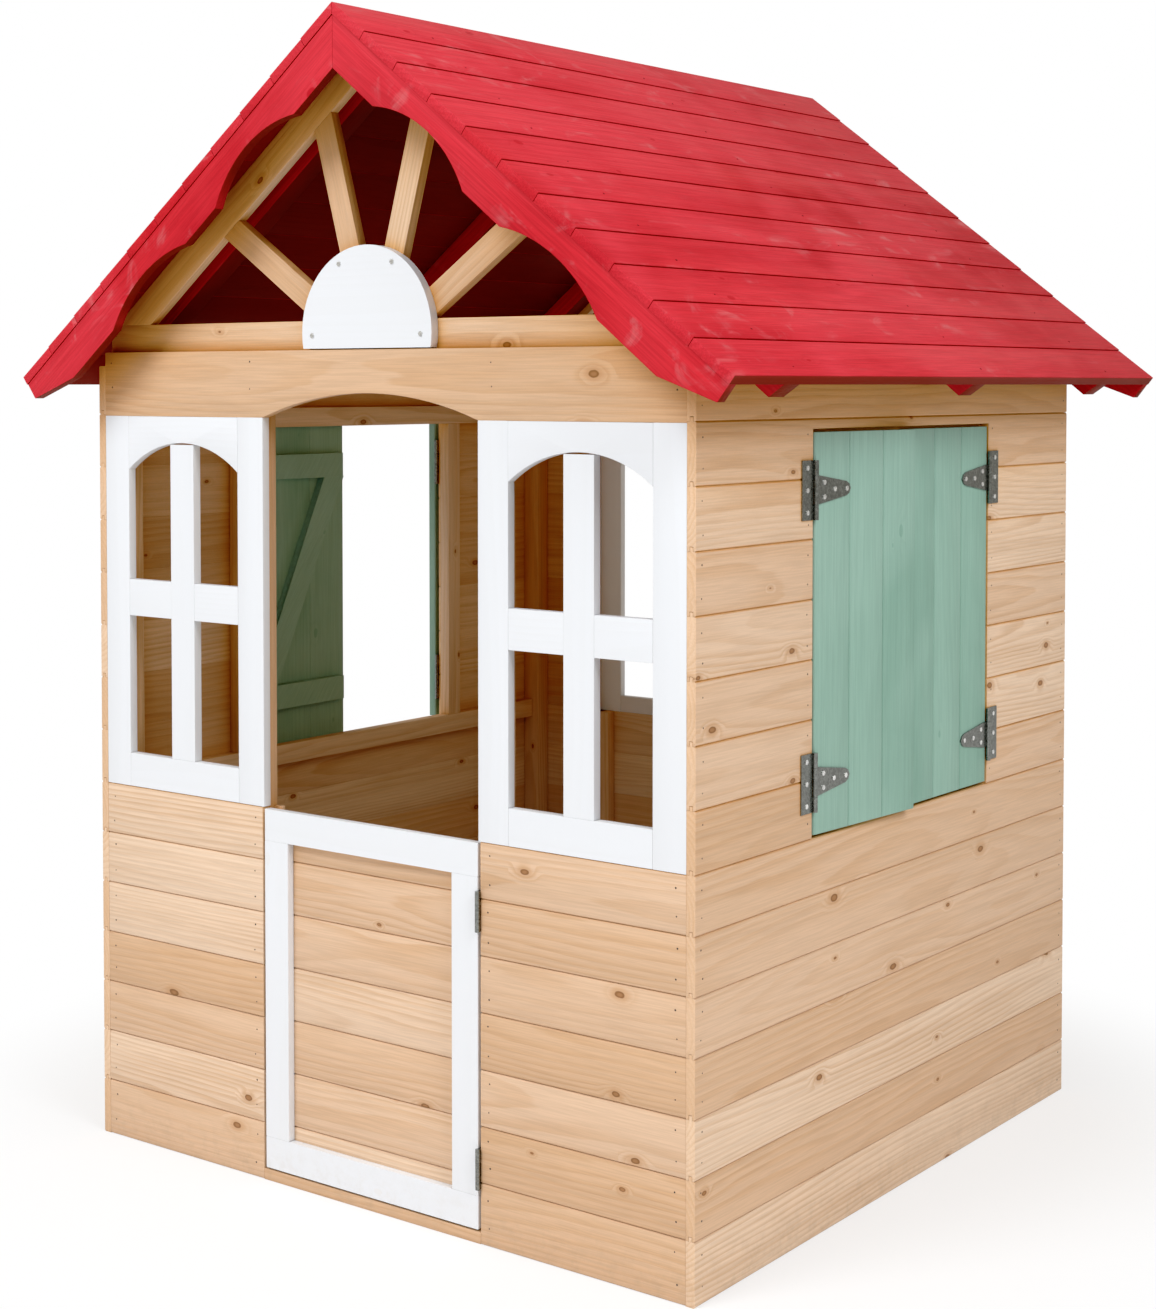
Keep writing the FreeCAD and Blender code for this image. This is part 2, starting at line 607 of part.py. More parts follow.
batten_section = outline("batten_section", [
    ("0", "-roof_board_thick - batten_deep"),
    ("slope_length - batten_back - batten_cut", "-roof_board_thick - batten_deep"),
    ("slope_length - batten_back", "-roof_board_thick"), ("0", "-roof_board_thick")])
BATTENS = [front_inside + " + truss_thick + batten_front + batten_wide",
           "batten_middle + batten_wide / 2", rear_inside + " - truss_thick"]
right_battens = tilted("right_battens", [
    push("batten_%d" % i, batten_section, "batten_wide", ("0", y, "0"), TO_FRONT)
    for i, y in enumerate(BATTENS)])
node("roof_battens_right", right_battens)
node("roof_battens_left", mirrored("left_battens", right_battens))

barge_section = outline("barge_section", [
    ("0", "-roof_board_thick - barge_deep"), ("tail_start", "-roof_board_thick - barge_deep"),
    ("slope_length - barge_step", "-roof_board_thick - tail_deep"),
    ("slope_length - barge_step", "-roof_board_thick"), ("0", "-roof_board_thick")])


def barge(name, back):
    """One right-hand barge board with two hollows in its lower edge; back is its rear plane."""
    plain = push(name + "_plain", barge_section, "barge_thick", ("0", back, "0"), TO_FRONT)
    hollows = []
    for along, deep, radius in (("notch_upper", "notch_deep", "hollow_upper"),
                                ("notch_lower", "notch_shallow", "hollow_lower")):
        middle = "-roof_board_thick - barge_deep + %s - %s" % (deep, radius)
        hollows.append(rod("%s_%s" % (name, radius), (along, back + " + barge_thick", middle),
                           radius, "3 * barge_thick", TO_FRONT))
    cut = without(name + "_cut", plain, group(name + "_hollows", hollows))
    right = tilted(name + "_right", [cut])
    node(name + "_right", right)
    node(name + "_left", mirrored(name + "_mirror", right))


barge("front_barge", "barge_thick + barge_step - roof_length / 2")
barge("rear_barge", "roof_length / 2 - barge_step")

# Door: level boards with a frame planted on their face, hung on its right edge
door_first = board_section("door_first", "door_first_board", groove=False)
door_middle = board_section("door_middle", "door_board")
door_second_low = "door_bottom + door_first_board"
door_last_low = door_second_low + " + (door_boards - 2) * door_board"
door_last_high = "(door_top - door_top_drop - (%s))" % door_last_low
door_last = board_section("door_last", door_last_high, tongue=False)
door_rows = [(door_first, "door_bottom")]
door_rows += [(door_middle, "%s + %d * door_board" % (door_second_low, i)) for i in range(DOOR_BOARDS - 2)]
door_rows += [(door_last, door_last_low)]
node("door_boards", boards("door", door_rows, "2 * door_half", "door_half",
                           "front_face + door_frame_thick + board_thick", TO_LEFT))


def planted(name, low_x, high_x, low_z, high_z):
    return block(name, (low_x, "front_face", low_z),
                 ("(%s) - (%s)" % (high_x, low_x), "door_frame_thick", "(%s) - (%s)" % (high_z, low_z)))


node("door_rails", group("rails_of_door", [
    planted("door_rail_top", "-door_half", "door_half", "door_top - door_frame", "door_top"),
    planted("door_rail_low", "-door_half", "door_half", "door_bottom", "door_bottom + door_frame")]))
door_stile = planted("door_stile", "door_half - door_frame", "door_half",
                     "door_bottom + door_frame", "door_top - door_frame")
node("door_stiles", group("stiles_of_door", [door_stile, mirrored("door_stile_left", door_stile)]))


# Butt hinges: the pin belongs to the fixed leaf and runs through the middle knuckle
def butt_hinge(name, middle):
    line_y = "front_face - butt_barrel"
    third = "(butt_high - 2 * knuckle_gap) / 3"
    low = "%s - butt_high / 2" % middle
    clear = line_y + " + butt_barrel + knuckle_gap"
    deep = "butt_deep - knuckle_gap"
    fixed = [
        block(name + "_fixed_leaf", ("doorway_half - butt_leaf", clear, low),
              ("butt_leaf", deep, "butt_high")),
        rod(name + "_pin", ("butt_line", line_y, low), "pin", "butt_high", UPRIGHT)]
    for end, start in (("low", low), ("top", "%s + butt_high / 2 - %s" % (middle, third))):
        fixed.append(rod("%s_knuckle_%s" % (name, end), ("butt_line", line_y, start),
                         "butt_barrel", third, UPRIGHT))
        fixed.append(block("%s_tab_%s" % (name, end), ("doorway_half - butt_leaf", line_y, start),
                           ("butt_leaf", "butt_barrel + knuckle_gap", third)))
    start = "%s + %s + knuckle_gap" % (low, third)
    moving = [
        block(name + "_door_leaf", ("door_half", clear, low), ("butt_leaf", deep, "butt_high")),
        block(name + "_door_tab", ("door_half", line_y, start),
              ("butt_leaf", "butt_barrel + knuckle_gap", third)),
        rod(name + "_door_knuckle", ("butt_line", line_y, start), "butt_barrel", third, UPRIGHT)]
    bore = rod(name + "_bore", ("butt_line", line_y, low), "pin + pin_play", "butt_high", UPRIGHT)
    return joined(name + "_fixed", fixed), without(name + "_moving", joined(name + "_swing", moving), bore)


butts = [butt_hinge("lower_butt_hinge", "lower_butt"), butt_hinge("upper_butt_hinge", "upper_butt")]
node("door_hinge_fixed_leaves", group("butts_fixed", [fixed for fixed, moving in butts]))
node("door_hinge_moving_leaves", group("butts_moving", [moving for fixed, moving in butts]))

# Shutters: drawn for the front opening edge of the right wall. The hinge line is the origin,
# +X points out of the wall and +Y runs from the hinge line to the free edge.
shutter_first = board_section("shutter_first", "shutter_board", "shutter_thick", groove=False)
shutter_middle = board_section("shutter_middle", "shutter_board", "shutter_thick")
shutter_last = board_section("shutter_last", "shutter_board", "shutter_thick", tongue=False)
shutter_back = "-barrel - shutter_thick"
shutter_boards = group("shutter_boards", [
    push("shutter_board_%d" % i, section, "shutter_high",
         (shutter_back, "shutter_gap + %d * shutter_board" % i, "shutter_bottom"), UPRIGHT)
    for i, section in enumerate([shutter_first] + [shutter_middle] * (SHUTTER_BOARDS - 2) + [shutter_last])])

ledge_back = shutter_back + " - board_thick"
ledge_end = "shutter_gap + shutter_wide - ledge_free"
brace_section = outline("brace_section", [
    ("ledge_inset", "ledge_low + ledge_high"), ("ledge_inset + brace_wide", "ledge_low + ledge_high"),
    (ledge_end, "ledge_up"), (ledge_end + " - brace_wide", "ledge_up")])
brace = push("brace", brace_section, "board_thick", (ledge_back, "0", "0"), TO_RIGHT)
ledges = [block("ledge_%d" % i, (ledge_back, "ledge_inset", z),
                ("board_thick", "%s - ledge_inset" % ledge_end, "ledge_high"))
          for i, z in enumerate(("ledge_low", "ledge_up"))]
shutter_ledges = group("shutter_ledges", ledges + [brace])

# T hinge: the pin belongs to the wall plate and runs through the knuckle of the flap
flap_section = outline("flap_section", [
    ("0", "-flap_root / 2"), ("flap_neck", "-flap_root / 2"), ("flap_long - flap_nose", "-flap_cheek / 2"),
    ("flap_long - flap_bevel", "-flap_chin / 2"), ("flap_long", "0"),
    ("flap_long - flap_bevel", "flap_chin / 2"),
    ("flap_long - flap_nose", "flap_cheek / 2"), ("flap_neck", "flap_root / 2"), ("0", "flap_root / 2")])
FLAP_SCREWS = [("flap_screw_near", "-flap_root / 4"), ("flap_screw_near", "flap_root / 4"),
               ("flap_screw_far", "0"), ("flap_long - flap_nose", "0")]
PLATE_SCREWS = [("-plate_screw_back", "%d * plate_screw_apart" % i) for i in (-1, 0, 1)]
OUT = FreeCAD.Rotation(V(0, 1, 0), 90)
seat_x = "leaf_thick - barrel"


def leaf_screws(name, places):
    return group(name, [screw("%s_%d" % (name, i), (seat_x, y, z), "leaf_thick", OUT)
                        for i, (y, z) in enumerate(places)])


flap_screws = leaf_screws("flap_screws", FLAP_SCREWS)
flap_solid = joined("flap_solid", [
    push("flap_plate", flap_section, "leaf_thick", ("-barrel", "0", "0"), TO_RIGHT),
    rod("flap_knuckle", ("0", "0", "-flap_root / 2"), "barrel", "flap_root", UPRIGHT)])
flap_bored = without("flap_bored", flap_solid, rod("flap_bore", ("0", "0", "-plate_high / 2"),
                                                   "pin + pin_play", "plate_high", UPRIGHT))
flap = without("flap", flap_bored, flap_screws)

plate_screws = leaf_screws("plate_screws", PLATE_SCREWS)
knuckle = "(plate_high - flap_root) / 2 - knuckle_gap"
plate_parts = [
    block("plate_leaf", ("-barrel", "-plate_wide", "-plate_high / 2"),
          ("leaf_thick", "plate_wide - barrel - knuckle_gap", "plate_high")),
    rod("plate_pin", ("0", "0", "-plate_high / 2"), "pin", "plate_high", UPRIGHT)]
for end, start in (("low", "-plate_high / 2"), ("top", "flap_root / 2 + knuckle_gap")):
    plate_parts.append(rod("plate_knuckle_" + end, ("0", "0", start), "barrel", knuckle, UPRIGHT))
    plate_parts.append(block("plate_tab_" + end, ("-barrel", "-barrel - knuckle_gap", start),
                             ("leaf_thick", "barrel + knuckle_gap", knuckle)))
plate = without("plate", joined("plate_solid", plate_parts), plate_screws)


def at_both_hinges(name, source):
    """The same hinge part at the lower and the upper hinge."""
    return group(name, [group(name + "_lower", [source], ("0", "0", "lower_hinge")),
                        group(name + "_upper", [source], ("0", "0", "upper_hinge"))])


flaps = at_both_hinges("flaps", flap)
flap_screw_set = at_both_hinges("flap_screw_set", flap_screws)
plates = at_both_hinges("plates", plate)
plate_screw_set = at_both_hinges("plate_screw_set", plate_screws)

hinge_x = "house_width / 2 + barrel"
hinge_front = "opening_front + shutter_gap"
hinge_rear = "opening_rear - shutter_gap"
SHUTTERS = [
    ("right_front", 1, 1, "-ajar"),
    ("right_rear", 1, -1, "0"),
    ("left_front", -1, 1, "left_ajar"),
    ("left_rear", -1, -1, "-thrown_back")]


def handed(name, source, side, end):
    """Turn a right-hand front piece into the one for another side or end."""
    if side < 0:
        source = mirrored(name + "_side", source)
    if end < 0:
        source = mirrored(name + "_end", source, V(0, 1, 0))
    return source


wall_plates = []
wall_plate_screws = []
for place, side, end, angle in SHUTTERS:
    at = (hinge_x if side > 0 else "-(%s)" % hinge_x, hinge_front if end > 0 else hinge_rear, "0")
    for part, source in (("boards", shutter_boards), ("ledges", shutter_ledges), ("hinge_flaps", flaps),
                         ("flap_screws", flap_screw_set)):
        name = "%s_shutter_%s" % (place, part)
        node(name, group(name, [handed(name, source, side, end)], at, V(0, 0, 1), angle))
    wall_plates.append(group(place + "_plates", [handed(place + "_plate", plates, side, end)], at))
    wall_plate_screws.append(group(place + "_plate_screws", [
        handed(place + "_plate_screw", plate_screw_set, side, end)], at))
node("shutter_hinge_wall_plates", group("wall_plates", wall_plates))
node("shutter_wall_plate_screws", group("wall_plate_screws", wall_plate_screws))

doc.recompute()

for obj in doc.Objects:
    if "Invalid" in obj.State or "Error" in obj.State:
        raise RuntimeError("%s did not rebuild: %s" % (obj.Label, obj.State))
for obj in NODES:
    if obj.Shape.isNull() or not obj.Shape.isValid() or not obj.Shape.Solids:
        raise RuntimeError("%s has no valid solid" % obj.Label)

os.makedirs("parts", exist_ok=True)
for obj in NODES:
    obj.Shape.exportStep("parts/%s.step" % obj.Label)
    print(obj.Label, len(obj.Shape.Solids), "solids", round(obj.Shape.Volume / 1000.0, 1), "cm3")
print(len(NODES), "nodes")
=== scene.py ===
# %% [markdown]
# # A timber playhouse, from boards to picture
#
# A garden playhouse is carpentry at half size: tongue-and-groove boards nailed to square posts, a
# board roof on battens, a low door on butt hinges and shutters on T hinges. Its measured solids come
# ready made. This notebook gives them their surfaces, adds the nails and small wear that tell a real
# house from a drawing, and sets up a plain studio around it.
#
# We begin with the solids. They are loaded as the frame that everything else is fitted to.

# %% Load the measured solids
import json
import math

import bpy
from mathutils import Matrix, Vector


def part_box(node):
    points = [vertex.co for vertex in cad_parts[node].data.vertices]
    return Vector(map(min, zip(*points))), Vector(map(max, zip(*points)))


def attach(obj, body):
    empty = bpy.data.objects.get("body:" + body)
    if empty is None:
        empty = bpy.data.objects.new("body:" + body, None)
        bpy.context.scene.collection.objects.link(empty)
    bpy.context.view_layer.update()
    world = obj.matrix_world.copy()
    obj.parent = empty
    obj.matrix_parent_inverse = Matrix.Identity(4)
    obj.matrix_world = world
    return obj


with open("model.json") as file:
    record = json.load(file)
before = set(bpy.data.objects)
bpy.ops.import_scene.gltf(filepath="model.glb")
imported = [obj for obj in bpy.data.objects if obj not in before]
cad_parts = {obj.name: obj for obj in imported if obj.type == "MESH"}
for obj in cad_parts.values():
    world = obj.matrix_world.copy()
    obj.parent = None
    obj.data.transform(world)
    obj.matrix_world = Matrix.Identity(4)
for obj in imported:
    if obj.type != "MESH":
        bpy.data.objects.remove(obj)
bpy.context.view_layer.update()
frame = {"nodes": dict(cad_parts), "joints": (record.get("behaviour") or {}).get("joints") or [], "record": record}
print("pieces loaded:", len(frame["nodes"]))

# %% [markdown]
# ## The camera
#
# The house is seen from its front right corner. The eye is about a metre from the ground, level
# with the tops of the windows, so the roof is seen from below its ridge and the ground hardly shows.
# The camera looks almost level and its frame is shifted down instead of tilting the lens. That is
# how a photographer keeps the corner posts upright.

# %% Place the camera
EYE = Vector((1.805, -2.466, 1.009))
TURN = 36.94  # degrees from looking along +Y towards -X
DIP = 2.02  # degrees below level
SENSOR, LENS = 36.0, 60.66  # millimetres: the long side of the film and the focal length
SHIFT = -0.1468  # of the long side, downwards

camera_data = bpy.data.cameras.new("Camera")
camera = bpy.data.objects.new("Camera", camera_data)
bpy.context.scene.collection.objects.link(camera)
camera.location = EYE
camera.rotation_euler = (math.radians(90 - DIP), 0.0, math.radians(TURN))
camera_data.lens = LENS
camera_data.sensor_width = SENSOR
camera_data.shift_y = SHIFT
bpy.context.scene.camera = camera
print("camera to the house:", round((EYE - Vector((0, -0.022, 1.0))).length, 2), "m")

# %% [markdown]
# ## Small tools for building node trees
#
# Every material and every geometry rule below is a graph of small operations. Two helpers keep them
# short: one adds a node with its settings and inputs, the other does arithmetic and returns the
# socket with the result, so that a formula reads almost like a line of algebra.

# %% Helpers for node graphs
def add(tree, kind, settings=None, **inputs):
    """Adds a node. Inputs are given by name with spaces written as underscores, or as i0, i1..."""
    made = tree.nodes.new(kind)
    for name, value in (settings or {}).items():
        setattr(made, name, value)
    for name, value in inputs.items():
        plain = name[0] == "i" and name[1:].isdigit()
        socket = made.inputs[int(name[1:]) if plain else name.replace("_", " ")]
        if isinstance(value, bpy.types.NodeSocket):
            tree.links.new(value, socket)
        else:
            socket.default_value = value
    return made


def math_(tree, operation, *values):
    made = add(tree, "ShaderNodeMath", {"operation": operation},
               **{"i%d" % i: value for i, value in enumerate(values)})
    return made.outputs[0]


def vec_(tree, operation, *values):
    made = add(tree, "ShaderNodeVectorMath", {"operation": operation},
               **{"i%d" % i: value for i, value in enumerate(values)})
    return made.outputs["Value" if operation in ("DOT_PRODUCT", "LENGTH", "DISTANCE") else "Vector"]


def ramp_(tree, value, low, high, to_low=0.0, to_high=1.0):
    """A smooth step from one value to another."""
    made = add(tree, "ShaderNodeMapRange", {"interpolation_type": "SMOOTHSTEP"}, Value=value)
    for name, number in (("From Min", low), ("From Max", high), ("To Min", to_low), ("To Max", to_high)):
        if isinstance(number, bpy.types.NodeSocket):
            tree.links.new(number, made.inputs[name])
        else:
            made.inputs[name].default_value = number
    return made.outputs[0]


def mix_(tree, factor, first, second, blend="MIX"):
    made = add(tree, "ShaderNodeMix", {"data_type": "RGBA", "blend_type": blend})
    for socket, value in ((made.inputs[0], factor), (made.inputs[6], first), (made.inputs[7], second)):
        if isinstance(value, bpy.types.NodeSocket):
            tree.links.new(value, socket)
        elif isinstance(value, (int, float)):
            socket.default_value = value
        else:
            socket.default_value = (*value, 1.0)
    return made.outputs[2]


def open_tree(name, kind, takes, gives):
    """A node group with named inputs and outputs."""
    tree = bpy.data.node_groups.new(name, kind)
    for socket, socket_type, value in takes:
        made = tree.interface.new_socket(socket, in_out="INPUT", socket_type=socket_type)
        if value is not None:
            made.default_value = value
    for socket, socket_type in gives:
        tree.interface.new_socket(socket, in_out="OUTPUT", socket_type=socket_type)
    return tree, tree.nodes.new("NodeGroupInput"), tree.nodes.new("NodeGroupOutput")


def named_(tree, name, kind):
    """An attribute that an earlier step left on the shape."""
    return add(tree, "GeometryNodeInputNamedAttribute", {"data_type": kind}, Name=name).outputs["Attribute"]


GIVES_SHAPE = [("Geometry", "NodeSocketGeometry")]
print("helpers ready")

# %% [markdown]
# ## Which way the grain runs
#
# Each board was sawn along the trunk, so its grain follows its length whatever way it is nailed up.
# A texture can only follow if every board knows its own axes. A geometry rule gives them: it finds
# the separate boards inside a solid, measures how far each one reaches along up to four candidate
# directions, takes the longest as the grain, and stores the position measured from the board's own
# middle as an attribute. It also gives each board a random number, because no two come from the same
# part of a tree. The solids themselves aren't changed; the rule only runs on top of them.

# %% The rule that finds the boards
def board_rule():
    takes = [("Geometry", "NodeSocketGeometry", None), ("Material", "NodeSocketMaterial", None),
             ("Face Normal", "NodeSocketVector", (0.0, 0.0, 1.0)), ("Seed", "NodeSocketInt", 1)]
    takes += [("Grain %d" % i, "NodeSocketVector", (1.0, 0.0, 0.0)) for i in range(4)]
    tree, start, end = open_tree("Board Frames", "GeometryNodeTree", takes, GIVES_SHAPE)
    welded = add(tree, "GeometryNodeMergeByDistance", Geometry=start.outputs["Geometry"], Distance=0.00001)
    island = add(tree, "GeometryNodeInputMeshIsland").outputs["Island Index"]
    place = add(tree, "GeometryNodeInputPosition").outputs[0]

    def total(value, kind):
        made = add(tree, "GeometryNodeAccumulateField", {"data_type": kind, "domain": "POINT"})
        tree.links.new(value, made.inputs["Value"])
        tree.links.new(island, made.inputs["Group ID"])
        return made.outputs["Total"]

    one = add(tree, "ShaderNodeValue")
    one.outputs[0].default_value = 1.0
    share = math_(tree, "DIVIDE", 1.0, total(one.outputs[0], "FLOAT"))
    scale = add(tree, "ShaderNodeVectorMath", {"operation": "SCALE"}, i0=total(place, "FLOAT_VECTOR"))
    tree.links.new(share, scale.inputs["Scale"])
    away = vec_(tree, "SUBTRACT", place, scale.outputs[0])
    best, reach = None, None
    for i in range(4):
        direction = vec_(tree, "NORMALIZE", start.outputs["Grain %d" % i])
        along = vec_(tree, "DOT_PRODUCT", away, direction)
        spread = total(math_(tree, "MULTIPLY", along, along), "FLOAT")
        if best is None:
            best, reach = direction, spread
            continue
        wins = add(tree, "FunctionNodeCompare", {"data_type": "FLOAT", "operation": "GREATER_THAN"},
                   i0=spread, i1=math_(tree, "MULTIPLY", reach, 1.001)).outputs[0]
        chosen = tree.nodes.new("GeometryNodeSwitch")
        chosen.input_type = "VECTOR"
        tree.links.new(wins, chosen.inputs[0])
        tree.links.new(best, chosen.inputs[1])
        tree.links.new(direction, chosen.inputs[2])
        best, reach = chosen.outputs[0], math_(tree, "MAXIMUM", reach, spread)
    normal = vec_(tree, "NORMALIZE", start.outputs["Face Normal"])
    across = vec_(tree, "CROSS_PRODUCT", normal, best)
    local = add(tree, "ShaderNodeCombineXYZ", X=vec_(tree, "DOT_PRODUCT", away, best),
                Y=vec_(tree, "DOT_PRODUCT", away, across), Z=vec_(tree, "DOT_PRODUCT", away, normal))
    chance = add(tree, "FunctionNodeRandomValue", {"data_type": "FLOAT"})
    tree.links.new(island, chance.inputs["ID"])
    tree.links.new(start.outputs["Seed"], chance.inputs["Seed"])
    shape = welded.outputs["Geometry"]
    for name, kind, value in (("board_at", "FLOAT_VECTOR", local.outputs[0]),
                              ("board_axis", "FLOAT_VECTOR", best),
                              ("board_luck", "FLOAT", chance.outputs[1])):
        store = add(tree, "GeometryNodeStoreNamedAttribute", {"data_type": kind, "domain": "POINT"},
                    Geometry=shape, Name=name)
        tree.links.new(value, store.inputs["Value"])
        shape = store.outputs[0]
    coat = add(tree, "GeometryNodeSetMaterial", Geometry=shape, Material=start.outputs["Material"])
    tree.links.new(coat.outputs[0], end.inputs["Geometry"])
    return tree


BOARD_RULE = board_rule()
print("board rule:", len(BOARD_RULE.nodes), "nodes")

# %% [markdown]
# ## Sawn softwood
#
# A board is a slice of a cone of yearly rings. Where the saw runs nearly level with the rings their
# lines wander in long arches; near the middle of the trunk they run straight. The group below keeps
# that idea: the trunk's middle lies a little under each board, the distance from it is cut into
# rings, and a slow noise bends them. Each ring is pale and slowly darkens to a thin brown line.
#
# Branches leave knots. The rings swell around them, so the same distance field that draws a knot is
# added to the ring distance, and the lines flow round it. Some boards are clear and some are knotty.
# The group gives only masks; each material decides what colour they become.

# %% The softwood group
SWELL = 0.011  # metres that the rings rise over the middle of a knot


def softwood_group():
    takes = [("Ring Width", "NodeSocketFloat", 0.0065), ("Knots", "NodeSocketFloat", 0.40),
             ("Waviness", "NodeSocketFloat", 0.012)]
    gives = [("Ring", "NodeSocketFloat"), ("Fibre", "NodeSocketFloat"), ("Knot", "NodeSocketFloat"),
             ("Halo", "NodeSocketFloat"), ("Patch", "NodeSocketFloat"), ("End", "NodeSocketFloat"),
             ("Band", "NodeSocketFloat"), ("Heart", "NodeSocketFloat"), ("Luck", "NodeSocketFloat")]
    tree, start, end = open_tree("Softwood", "ShaderNodeTree", takes, gives)
    at = add(tree, "ShaderNodeAttribute", {"attribute_name": "board_at"}).outputs["Vector"]
    luck = add(tree, "ShaderNodeAttribute", {"attribute_name": "board_luck"}).outputs["Fac"]
    shift = add(tree, "ShaderNodeCombineXYZ", X=math_(tree, "MULTIPLY", luck, 37.0),
                Y=math_(tree, "MULTIPLY", luck, 11.3), Z=math_(tree, "MULTIPLY", luck, 5.9)).outputs[0]
    wood = vec_(tree, "ADD", at, shift)

    def noise(stretch, scale, detail=2.0, rough=0.5):
        made = add(tree, "ShaderNodeTexNoise", Vector=vec_(tree, "MULTIPLY", wood, stretch), Scale=scale,
                   Detail=detail, Roughness=rough)
        return made.outputs["Fac"]

    # Knots: one chance of a branch in each cell of a wandering grid over the face of the board
    flat = vec_(tree, "MULTIPLY", wood, (7.0, 13.0, 0.0))
    cells = add(tree, "ShaderNodeTexVoronoi", {"voronoi_dimensions": "2D", "feature": "F1"}, Vector=flat,
                Scale=1.0, Randomness=1.0)
    spot = add(tree, "ShaderNodeSeparateColor", Color=cells.outputs["Color"])
    present = math_(tree, "LESS_THAN", spot.outputs[0], start.outputs["Knots"])
    wobble = math_(tree, "MULTIPLY", math_(tree, "SUBTRACT", noise((60.0, 60.0, 60.0), 1.0), 0.5), 0.05)
    far = math_(tree, "ADD", cells.outputs["Distance"], wobble)
    big = ramp_(tree, spot.outputs[1], 0.1, 1.0, 0.022, 0.062)

    def round_knot(inner, outer, height=1.0):
        """A round patch that fades between two shares of the knot's size."""
        near, rim = math_(tree, "MULTIPLY", big, inner), math_(tree, "MULTIPLY", big, outer)
        return math_(tree, "MULTIPLY", present, ramp_(tree, far, near, rim, height, 0.0))

    knot, heart, halo = round_knot(0.75, 1.0), round_knot(0.25, 0.70), round_knot(1.0, 2.6)
    swell = round_knot(0.0, 4.2, SWELL)

    # Rings: distance from the trunk's middle, bent by a slow noise and swollen round the knots
    parts = add(tree, "ShaderNodeSeparateXYZ", Vector=at)
    off_centre = math_(tree, "MULTIPLY", math_(tree, "SUBTRACT", luck, 0.5), 0.10)
    aside = math_(tree, "ADD", parts.outputs["Y"], off_centre)
    under = math_(tree, "ADD", parts.outputs["Z"], ramp_(tree, luck, 0.0, 1.0, 0.026, 0.075))
    slow = math_(tree, "SUBTRACT", noise((1.6, 9.0, 9.0), 1.0, 1.0), 0.5)
    quick = math_(tree, "SUBTRACT", noise((7.0, 60.0, 60.0), 1.0, 2.0), 0.5)
    wave = start.outputs["Waviness"]
    bend = math_(tree, "ADD", math_(tree, "MULTIPLY", slow, math_(tree, "MULTIPLY", wave, 2.6)),
                 math_(tree, "MULTIPLY", quick, math_(tree, "MULTIPLY", wave, 0.28)))
    radius = math_(tree, "SQRT", math_(tree, "ADD", math_(tree, "MULTIPLY", aside, aside),
                                       math_(tree, "MULTIPLY", under, under)))
    total = math_(tree, "ADD", math_(tree, "ADD", radius, bend), swell)
    year = math_(tree, "FRACT", math_(tree, "DIVIDE", total, start.outputs["Ring Width"]))
    dark = math_(tree, "MULTIPLY", ramp_(tree, year, 0.25, 0.86), ramp_(tree, year, 0.90, 1.0, 1.0, 0.0))
    fibre = noise((14.0, 520.0, 520.0), 1.0, 3.0, 0.62)
    patch = noise((2.2, 14.0, 14.0), 1.0, 2.0)
    band = noise((0.9, 34.0, 34.0), 1.0, 3.0, 0.55)

    # End grain shows where the surface faces along the board
    axis = add(tree, "ShaderNodeAttribute", {"attribute_name": "board_axis"}).outputs["Vector"]
    facing = vec_(tree, "DOT_PRODUCT", add(tree, "ShaderNodeNewGeometry").outputs["Normal"], axis)
    butt = ramp_(tree, math_(tree, "ABSOLUTE", facing), 0.7, 0.9)
    for name, value in (("Ring", dark), ("Fibre", fibre), ("Knot", knot), ("Halo", halo), ("Patch", patch),
                        ("End", butt), ("Band", band), ("Heart", heart), ("Luck", luck)):
        tree.links.new(value, end.inputs[name])
    return tree


SOFTWOOD = softwood_group()
print("softwood group:", len(SOFTWOOD.nodes), "nodes")

# %% [markdown]
# ## Rubbed edges
#
# Corners lose their finish first: paint thins, stain lightens and bare wood turns slightly darker
# from hands. A bevel normal differs from the true normal only near an edge, so the angle between
# the two is a mask of the edges. A noise breaks it up, since wear is never a ruled line.

# %% The rubbed edge group
def edge_group():
    takes = [("Width", "NodeSocketFloat", 0.002), ("Amount", "NodeSocketFloat", 0.5)]
    tree, start, end = open_tree("Rubbed Edges", "ShaderNodeTree", takes, [("Edge", "NodeSocketFloat")])
    soft = add(tree, "ShaderNodeBevel", {"samples": 4}, Radius=start.outputs["Width"]).outputs[0]
    true = add(tree, "ShaderNodeNewGeometry").outputs["Normal"]
    edge = ramp_(tree, vec_(tree, "DOT_PRODUCT", soft, true), 0.99, 0.80)
    where = add(tree, "ShaderNodeTexCoord").outputs["Object"]
    broken = add(tree, "ShaderNodeTexNoise", Vector=where, Scale=38.0, Detail=3.0).outputs["Fac"]
    mask = math_(tree, "MULTIPLY", edge, ramp_(tree, broken, 0.40, 0.66))
    tree.links.new(math_(tree, "MULTIPLY", mask, start.outputs["Amount"]), end.inputs["Edge"])
    return tree


RUBBED = edge_group()
print("edge group:", len(RUBBED.nodes), "nodes")

# %% [markdown]
# ## Painted shade in the joints and under the eaves
#
# Between two boards the light has to find its way down a narrow groove. The colour is darkened there as
# painted shade, together with the dirt and stain that collect in it. Counting how much of the sky is
# hidden within a few millimetres finds exactly those places. Counted over a hand's width, the same
# measure finds the wood under the eaves and inside the house, whose colour is made darker and more orange as
# painted shade.

# %% The group for painted shade in hollows
def hollow_shade_and_dirt_group():
    takes = [("Reach", "NodeSocketFloat", 0.006)]
    tree, start, end = open_tree("Shade And Dirt In Hollows", "ShaderNodeTree", takes,
                                 [("Joint", "NodeSocketFloat"), ("Warm Shade", "NodeSocketFloat")])
    open_sky = add(tree, "ShaderNodeAmbientOcclusion", {"samples": 4}, Distance=start.outputs["Reach"])
    tree.links.new(ramp_(tree, open_sky.outputs["AO"], 0.85, 0.30), end.inputs["Joint"])
    tree.links.new(ramp_(tree, open_sky.outputs["AO"], 0.97, 0.55), end.inputs["Warm Shade"])
    return tree


